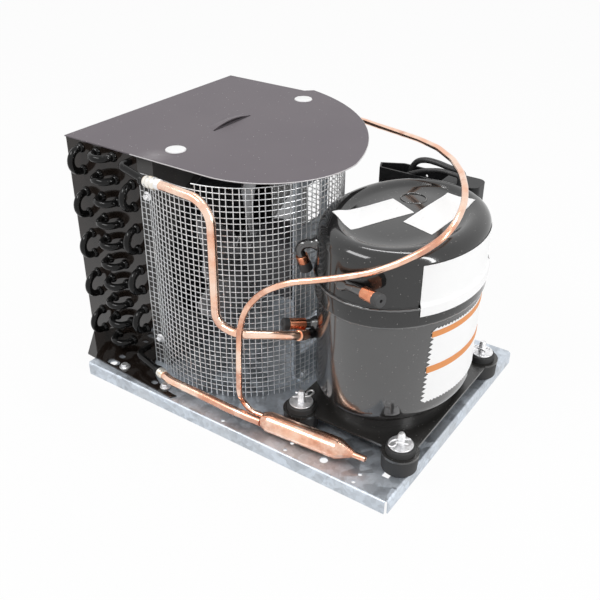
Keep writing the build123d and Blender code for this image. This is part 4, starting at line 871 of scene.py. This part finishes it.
def build_screws():
    """Screws of the guard and of the coil's foot."""
    skin = Skin()
    low, high = node_box("guard_screws")
    x = (low[0] + high[0]) / 2 + SCREW_SHIFT
    for z in (low[2] + SCREW_INSET, high[2] - SCREW_INSET):
        hexagon_screw(skin, (x, high[1], z), (0, -1, 0), 5.2, 3.6)
    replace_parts(skin.make("guard_screw_heads", FINISH["zinc"], "zinc", angle=30), "guard_screws")
    skin = Skin()
    for x, y in FOOT_SCREWS:
        hexagon_screw(skin, (x, y, FOOT_SHEET), UP, 6.2, 4.4)
    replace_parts(skin.make("foot_screw_heads", FINISH["zinc"], "zinc", angle=30), "foot_screws")


FAN = np.array((-43.0, -4.0, 127.0))
BLADE_ROOT = 20.0
MOTOR_ENDS = {"motor_front_shell": (-20.0, 12.0), "motor_back_shell": (41.0, 12.0)}


def build_fan(settings):
    """Five cambered aluminium blades on a pressed spider, and the motor's casing."""
    skin = Skin()
    count, tip = settings.blades, settings.radius / MM
    for blade in range(count):
        turn = 2 * math.pi * blade / count
        r = np.linspace(BLADE_ROOT, tip, 22)[:, None]
        u = np.linspace(-1, 1, 25)[None]
        share = (r - BLADE_ROOT) / (tip - BLADE_ROOT)
        half = (12 + 27 * np.sqrt(share)) * (1 - 0.45 * np.clip((share - 0.82) / 0.18, 0, 1) ** 3)
        pitch = np.radians(36 - 15 * share)
        sweep = half * u + 4 * share
        camber = (2 + 6 * share) * (1 - u**2)
        flat_y = sweep * np.cos(pitch)
        depth = -sweep * np.sin(pitch) + camber * 0.6
        reach = np.sqrt(np.clip(r**2 - (flat_y * 0.35) ** 2, 0, None))
        y = flat_y * math.cos(turn) - reach * math.sin(turn)
        z = flat_y * math.sin(turn) + reach * math.cos(turn)
        front = np.stack([FAN[0] + depth, FAN[1] + y, FAN[2] + z], -1)
        skin.sheet(front, front + np.array((1.0, 0, 0)))
    skin.turned(soft_profile([(11, -1.4), (29, -1.4), (29, 1.4), (11, 1.4)], [0.8, 0.8]), FAN, (1, 0, 0), 48)
    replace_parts(skin.make("fan_wheel", FINISH["blade_metal"], "aluminium", "fan", angle=50), "fan_blades")

    for node, (end, middle) in MOTOR_ENDS.items():
        depth = abs(end - middle)
        profile = soft_profile([(41.6, 0), (42.4, 0), (42.4, 3), (41.4, 4), (41.4, depth), (12, depth + 1),
                                (9, depth), (9, depth - 3), (3.3, depth - 3), (3.3, 0)],
                               [0.3, 0.5, 0.5, 9.0, 3.0, 1.0, 1.0, 0.5])
        skin = Skin()
        skin.turned(profile, (middle, FAN[1], FAN[2]), (end - middle, 0, 0), 56)
        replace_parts(skin.make(node.replace("_shell", "_casing"), FINISH["motor_dark"], "dark_metal"), node)


# Electrical parts, labels and plugs

THICK_WIRE = [(92, 116, 196), (92, 116, 214), (100, 114, 226), (113, 112, 230.5), (127, 112, 229.5),
              (142, 112, 227), (156, 113, 225), (156, 113, 216)]
THIN_WIRE = [(86, 106, 196), (86, 105, 206), (98.7, 104, 214), (113.4, 104, 221), (134.2, 104, 225.7),
             (156, 104, 224), (156, 104, 216)]
TOP_LABELS = [
    [(91.9, -47.9), (120.8, 21.9), (154.4, 3.3), (123.5, -65.0)],
    [(155.7, -21.5), (160.0, 66.7), (193.7, 58.5), (190.0, -29.6)],
]
DOME_LABEL = (-45.0, 28.0, 160.0, 211.5)
LOWER_LABEL = (-35.0, 24.0, 54.0, 141.0)
LABEL_LEAN = 3.2
LABEL_LIFT = 0.35
LABEL_BANDS = ((131.0, 137.5), (90.5, 98.0))
PAPER = 0.25
TOOTH = 5.2
SIDE_TEETH = 15
FOOT_TEETH = 22
# Distance from the lower shell's oval to the label's face on the dome, on the lower shell and on the bands
DOME_GAP = 1.65
PAPER_GAP = 0.4
BAND_GAP = 0.7
BEAD_SWELL = 2.6
SKIRT_TOP = 173.0
RING = (137.7, 34.5, 219.1)
RING_RADIUS = 13.0
PLUGS = ((-87.0, -69.0), (-77.0, 151.5))


def build_wires():
    """The two black wires over the open electrical box."""
    skin = Skin()
    for route, radius in ((THICK_WIRE, 3.25), (THIN_WIRE, 2.5)):
        closed_tube(skin, pipe_path(route, 40), radius, 20)
    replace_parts(skin.make("wires", FINISH["wire_black"], "rubber"), "wire_loop")


def label_lean(height):
    """How far the lower label's toothed end leans, in degrees, at a height."""
    return LABEL_LEAN * (LOWER_LABEL[3] - height) / (LOWER_LABEL[3] - LOWER_LABEL[2])


def oval_patch(skin, span, gap, teeth=0, swell=0.0):
    """A label bent round the shell: every point lies on an oval that is wider than the shell's by the gap.

    The span is two angles in degrees and two heights. Teeth cut the first end, the head and the foot into a
    zigzag, and the swell lifts the label over the seam's bead.
    """
    first, last, low, high = span
    u = np.linspace(0, 1, 97)[None]
    v = np.linspace(0, 1, 91)[:, None]
    zigzag = TOOTH * teeth
    lean = teeth * label_lean(low + (high - low) * v)
    side = zigzag * (1 - u) * np.abs((v * SIDE_TEETH) % 1 - 0.5)
    angle = np.radians(first - lean + (last - first) * u + side)
    rim = (1 - v) ** 8 - v**8
    height = low + (high - low) * v + 0.9 * zigzag * rim * np.abs((u * FOOT_TEETH) % 1 - 0.5)
    gap = gap + swell * np.clip((SKIRT_TOP - height) / 3, 0, 1)
    x, y = (SHELL_HALF_X + gap) * np.cos(angle), (SHELL_HALF_Y + gap) * np.sin(angle)
    face = np.stack([SHELL_MID[0] + x, SHELL_MID[1] + y, height], -1)
    skin.sheet(face, face - unit_rows(np.stack([x, y, 0 * x], -1)) * PAPER)


def build_labels():
    """Blank labels on the shell, as plain white paper with two orange bands, and the ring in the dome."""
    skin = Skin()
    for corners in TOP_LABELS:
        a, b, c, d = np.array([(x, y, 219.0) for x, y in corners])
        u, v = np.meshgrid(np.linspace(0, 1, 33), np.linspace(0, 1, 33))
        u, v = u[..., None], v[..., None]
        face = a * (1 - u) * (1 - v) + b * u * (1 - v) + c * u * v + d * (1 - u) * v
        face[..., 2] = dome_height(face[..., 0], face[..., 1]) + LABEL_LIFT
        skin.sheet(face, face - np.array((0.0, 0.0, PAPER)))
    oval_patch(skin, DOME_LABEL, DOME_GAP, swell=BEAD_SWELL)
    oval_patch(skin, LOWER_LABEL, PAPER_GAP, teeth=1)
    skin.make("labels_blank", FINISH["label_white"], "white_plastic", smooth=False)

    skin = Skin()
    for low, high in LABEL_BANDS:
        start = LOWER_LABEL[0] + 0.8 - label_lean(low)
        oval_patch(skin, (start, LOWER_LABEL[1], low, high), BAND_GAP)
    skin.make("label_bands", FINISH["label_orange"], "white_plastic", smooth=False)

    skin = Skin()
    angle = full_turn(48)
    hoop(skin, np.array(RING) + RING_RADIUS * np.stack([np.cos(angle), np.sin(angle), 0 * angle], -1), 0.9)
    skin.make("dome_ring", FINISH["shell_black"], "black_paint")


def arc_through(start, middle, end, count=24):
    """Points on the plane arc through three points."""
    start, middle, end = (np.asarray(p, float) for p in (start, middle, end))
    sides = 2 * np.array([middle - start, end - start])
    centre = np.linalg.solve(sides, [middle @ middle - start @ start, end @ end - start @ start])
    angles = np.unwrap([math.atan2(*(p - centre)[::-1]) for p in (start, middle, end)])
    turn = np.linspace(angles[0], angles[2], count)[:, None]
    return centre + np.linalg.norm(start - centre) * np.hstack([np.cos(turn), np.sin(turn)])


def build_trim():
    """White plugs in the top plate, and a painted highlight as a pale line along the plate's front edge."""
    skin = Skin()
    plug = soft_profile([(0, -1.2), (9.4, -1.2), (9.4, 0.02), (11, 0.02), (10.6, 1.3), (7, 1.7), (0, 1.8)],
                        [0.2, 0.1, 0.2, 1.0, 2.0])
    for x, y in PLUGS:
        skin.turned(plug, (x, y, COVER_TOP), UP, 40)
    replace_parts(skin.make("cover_plugs", FINISH["plug_white"], "white_plastic"), "plate_plugs")

    # A thin pale tube along the plate's front edge: a painted highlight
    edge = np.vstack([[(-118.0, -104.5)], arc_through((-13, -104.5), (65, -62.5), (85, 6.5)),
                      arc_through((85, 6.5), (25, 122.5), (-88, 191.5))[1:]])
    skin = Skin()
    closed_tube(skin, np.column_stack([edge, np.full(len(edge), COVER_TOP - 0.6)]), 0.62, 8)
    skin.make("cover_edge_highlight", FINISH["edge_highlight"], "grey_paint")


# Stage

CAMERA_PLACE = (0.470605, -0.662189, 0.554043)
CAMERA_RIGHT = (0.8259044, 0.56375595, 0.00782018)
CAMERA_UP = (-0.2946717, 0.41978692, 0.85845648)
CAMERA_LENS = 48.986
FILM_WIDTH = 36.0
FLOOR_REACH = 4.0
# Name, place, size and power in watts of each lamp
LAMPS = (("key", (-0.5, -1.1, 1.5), (1.1, 0.45), 13.0), ("right_fill", (1.4, -0.1, 0.8), (0.12, 1.2), 9.0),
         ("top", (0.1, 0.5, 1.7), (1.4, 0.12), 6.0))
LAMP_AIM = (0.0, 0.0, 0.1)


def area_light(name, place, size, power):
    """A soft rectangular lamp at a place, aimed at the unit."""
    lamp = bpy.data.lights.new(name, "AREA")
    lamp.shape = "RECTANGLE"
    lamp.size, lamp.size_y = size
    lamp.energy = power
    piece = bpy.data.objects.new(name, lamp)
    piece.location = place
    piece.rotation_euler = (Vector(LAMP_AIM) - Vector(place)).to_track_quat("-Z", "Y").to_euler()
    bpy.context.scene.collection.objects.link(piece)


def plainly_seen(paint):
    """1 for the camera, reflections and glass, and 0 for light."""
    seen = paint.node("ShaderNodeLightPath", {}, {}, "Is Camera Ray")
    for ray in ("Is Glossy Ray", "Is Transmission Ray"):
        seen = seen.maths("MAXIMUM", seen, paint.node("ShaderNodeLightPath", {}, {}, ray))
    return seen


def stage_shade(name, glow):
    """A stage surface that is white to the camera and in reflections, and plain grey as light."""
    paint = Paint(name)
    white = paint.node("ShaderNodeEmission", {}, {"Color": rgb(1.0, 1.0, 1.0), "Strength": 1.0})
    matt = paint.node("ShaderNodeBsdfDiffuse", {}, {"Color": rgb(0.8, 0.8, 0.8)})
    share = plainly_seen(paint) * glow
    return paint.close(paint.node("ShaderNodeMixShader", {}, {0: share, 1: matt, 2: white}))


def build_world(level):
    """Surroundings that are white to the camera and in reflections, and plainer as light."""
    paint = Paint("studio", world=True)
    strength = paint.node("ShaderNodeMapRange", {}, {0: plainly_seen(paint), 3: level, 4: 1.0})
    sky = paint.node("ShaderNodeBackground", {}, {"Color": rgb(1.0, 1.0, 1.0), "Strength": strength})
    bpy.context.scene.world = paint.close(sky)


def build_stage(settings):
    """Pale floor, soft lamps, white surroundings and the photograph's camera."""
    signs = ((-1, -1), (1, -1), (1, 1), (-1, 1))
    corners = [(x * FLOOR_REACH, y * FLOOR_REACH, FLOOR_Z * MM) for x, y in signs]
    floor = bpy.data.meshes.new("floor")
    floor.from_pydata(corners, [], [(0, 1, 2, 3)])
    floor.materials.append(stage_shade("floor_pale", settings.floor_glow))
    piece = bpy.data.objects.new("floor", floor)
    bpy.context.scene.collection.objects.link(piece)
    build_world(settings.sky)

    for name, place, size, power in LAMPS:
        area_light(name, place, size, power * settings.lamps)

    camera = bpy.data.cameras.new("camera")
    camera.lens = CAMERA_LENS
    camera.sensor_width = FILM_WIDTH
    camera.clip_start, camera.clip_end = 0.05, 20.0
    piece = bpy.data.objects.new("camera", camera)
    right, up = Vector(CAMERA_RIGHT).normalized(), Vector(CAMERA_UP).normalized()
    turn = Matrix((right, up, right.cross(up))).transposed().to_4x4()
    piece.matrix_world = Matrix.Translation(CAMERA_PLACE) @ turn
    bpy.context.scene.collection.objects.link(piece)
    bpy.context.scene.camera = piece
    bpy.context.scene.view_settings.view_transform = "Standard"


# Settings, operators and panel

def length_property(name, description, default):
    """A length in metres, shown in the scene's units."""
    return FloatProperty(name=name, description=description, default=default, min=0.0, subtype="DISTANCE",
                         unit="LENGTH", precision=5)


class CoilSettings(bpy.types.PropertyGroup):
    """Sizes of the coil's return bends and fins"""
    bend_straight: length_property("Bend reach", "Straight run of a bend outside the end plate", 0.0035)
    bend_waver: length_property("Bend waver", "How far the bends stand out of true", 0.00012)
    fin_step: length_property("Fin step", "Distance between two fin sheets", 0.0021)


class GuardSettings(bpy.types.PropertyGroup):
    """Sizes of the fan guard's wire mesh"""
    pitch: length_property("Mesh pitch", "Distance between two wires", 0.00635)
    wire: length_property("Wire", "Diameter of a wire", 0.001)
    waver: length_property("Waver", "How far the wires run out of true", 0.00035)


class FanSettings(bpy.types.PropertyGroup):
    """Sizes of the fan wheel"""
    blades: IntProperty(name="Blades", description="Number of blades", default=5, min=2, max=9)
    radius: length_property("Tip radius", "Radius at the blades' tips", 0.092)


class StageSettings(bpy.types.PropertyGroup):
    """Light and surroundings"""
    sky: FloatProperty(name="Sky light", description="Strength of the surroundings as light",
                       default=0.45, min=0.0)
    lamps: FloatProperty(name="Lamps", description="Factor on the power of all lamps", default=1.0, min=0.0)
    floor_glow: FloatProperty(name="Floor glow", description="Share of plain white in the floor as seen",
                              default=0.95, min=0.0, max=1.0, subtype="FACTOR")


class UnitSettings(bpy.types.PropertyGroup):
    """All settings of the condensing unit"""
    coil: PointerProperty(name="Coil", description="Return bends and fins", type=CoilSettings)
    guard: PointerProperty(name="Guard", description="Wire mesh", type=GuardSettings)
    fan: PointerProperty(name="Fan", description="Fan wheel", type=FanSettings)
    stage: PointerProperty(name="Stage", description="Light and surroundings", type=StageSettings)


class UNIT_OT_finishes(bpy.types.Operator):
    """Make all materials and dress the frame's nodes"""
    bl_idname = "condensing_unit.finishes"
    bl_label = "Finishes"

    def execute(self, context):
        make_finishes()
        dress_nodes()
        return {"FINISHED"}


class UNIT_OT_compressor(bpy.types.Operator):
    """Build the compressor's oval shells and their weld seam"""
    bl_idname = "condensing_unit.compressor"
    bl_label = "Compressor"

    def execute(self, context):
        build_compressor()
        return {"FINISHED"}


class UNIT_OT_feet(bpy.types.Operator):
    """Build the compressor's grommets, washers, studs and clips"""
    bl_idname = "condensing_unit.feet"
    bl_label = "Feet"

    def execute(self, context):
        build_feet()
        return {"FINISHED"}


class UNIT_OT_pipes(bpy.types.Operator):
    """Build the copper lines, their brazed joints and the filter drier"""
    bl_idname = "condensing_unit.pipes"
    bl_label = "Pipes"

    def execute(self, context):
        build_pipes()
        return {"FINISHED"}


class UNIT_OT_stubs(bpy.types.Operator):
    """Build the pipe stubs on the shell with their rubber plugs"""
    bl_idname = "condensing_unit.stubs"
    bl_label = "Stubs"

    def execute(self, context):
        build_stubs()
        return {"FINISHED"}


class UNIT_OT_coil(bpy.types.Operator):
    """Build the coil's return bends and fins"""
    bl_idname = "condensing_unit.coil"
    bl_label = "Coil"

    def execute(self, context):
        build_coil(context.scene.condensing_unit.coil)
        return {"FINISHED"}


class UNIT_OT_guard(bpy.types.Operator):
    """Build the fan guard's wire mesh"""
    bl_idname = "condensing_unit.guard"
    bl_label = "Guard"

    def execute(self, context):
        build_guard(context.scene.condensing_unit.guard)
        return {"FINISHED"}


class UNIT_OT_screws(bpy.types.Operator):
    """Build the screws of the guard and the coil's foot"""
    bl_idname = "condensing_unit.screws"
    bl_label = "Screws"

    def execute(self, context):
        build_screws()
        return {"FINISHED"}


class UNIT_OT_fan(bpy.types.Operator):
    """Build the fan wheel and its motor's casing"""
    bl_idname = "condensing_unit.fan"
    bl_label = "Fan"

    def execute(self, context):
        build_fan(context.scene.condensing_unit.fan)
        return {"FINISHED"}


class UNIT_OT_trim(bpy.types.Operator):
    """Build the wires, blank labels, white plugs and the painted highlight along the top plate's edge"""
    bl_idname = "condensing_unit.trim"
    bl_label = "Wires, labels and plugs"

    def execute(self, context):
        build_wires()
        build_labels()
        build_trim()
        return {"FINISHED"}


class UNIT_OT_stage(bpy.types.Operator):
    """Build the floor, the lamps, the surroundings and the camera"""
    bl_idname = "condensing_unit.stage"
    bl_label = "Stage"

    def execute(self, context):
        build_stage(context.scene.condensing_unit.stage)
        return {"FINISHED"}


GROUPS = (CoilSettings, GuardSettings, FanSettings, StageSettings, UnitSettings)
STEPS = (UNIT_OT_finishes, UNIT_OT_compressor, UNIT_OT_feet, UNIT_OT_pipes, UNIT_OT_stubs, UNIT_OT_coil,
         UNIT_OT_guard, UNIT_OT_screws, UNIT_OT_fan, UNIT_OT_trim, UNIT_OT_stage)


class UNIT_PT_panel(bpy.types.Panel):
    """Settings and building steps of the condensing unit"""
    bl_idname = "UNIT_PT_panel"
    bl_label = "Condensing Unit"
    bl_space_type = "VIEW_3D"
    bl_region_type = "UI"
    bl_category = "Condensing Unit"

    def draw(self, context):
        settings = context.scene.condensing_unit
        for group in (settings.coil, settings.guard, settings.fan, settings.stage):
            box = self.layout.box()
            for name in group.bl_rna.properties.keys():
                if name not in ("name", "rna_type"):
                    box.prop(group, name)
        for step in STEPS:
            self.layout.operator(step.bl_idname)


def register():
    """Makes the settings, operators and panel known."""
    for item in GROUPS + STEPS + (UNIT_PT_panel,):
        bpy.utils.register_class(item)
    bpy.types.Scene.condensing_unit = PointerProperty(type=UnitSettings)


def unregister():
    """Takes them away again."""
    del bpy.types.Scene.condensing_unit
    for item in reversed(GROUPS + STEPS + (UNIT_PT_panel,)):
        bpy.utils.unregister_class(item)


def main():
    """Builds every piece in order."""
    register()
    bpy.ops.condensing_unit.finishes()
    bpy.ops.condensing_unit.compressor()
    bpy.ops.condensing_unit.feet()
    bpy.ops.condensing_unit.pipes()
    bpy.ops.condensing_unit.stubs()
    bpy.ops.condensing_unit.coil()
    bpy.ops.condensing_unit.guard()
    bpy.ops.condensing_unit.screws()
    bpy.ops.condensing_unit.fan()
    bpy.ops.condensing_unit.trim()
    bpy.ops.condensing_unit.stage()


if __name__ == "__main__":
    main()
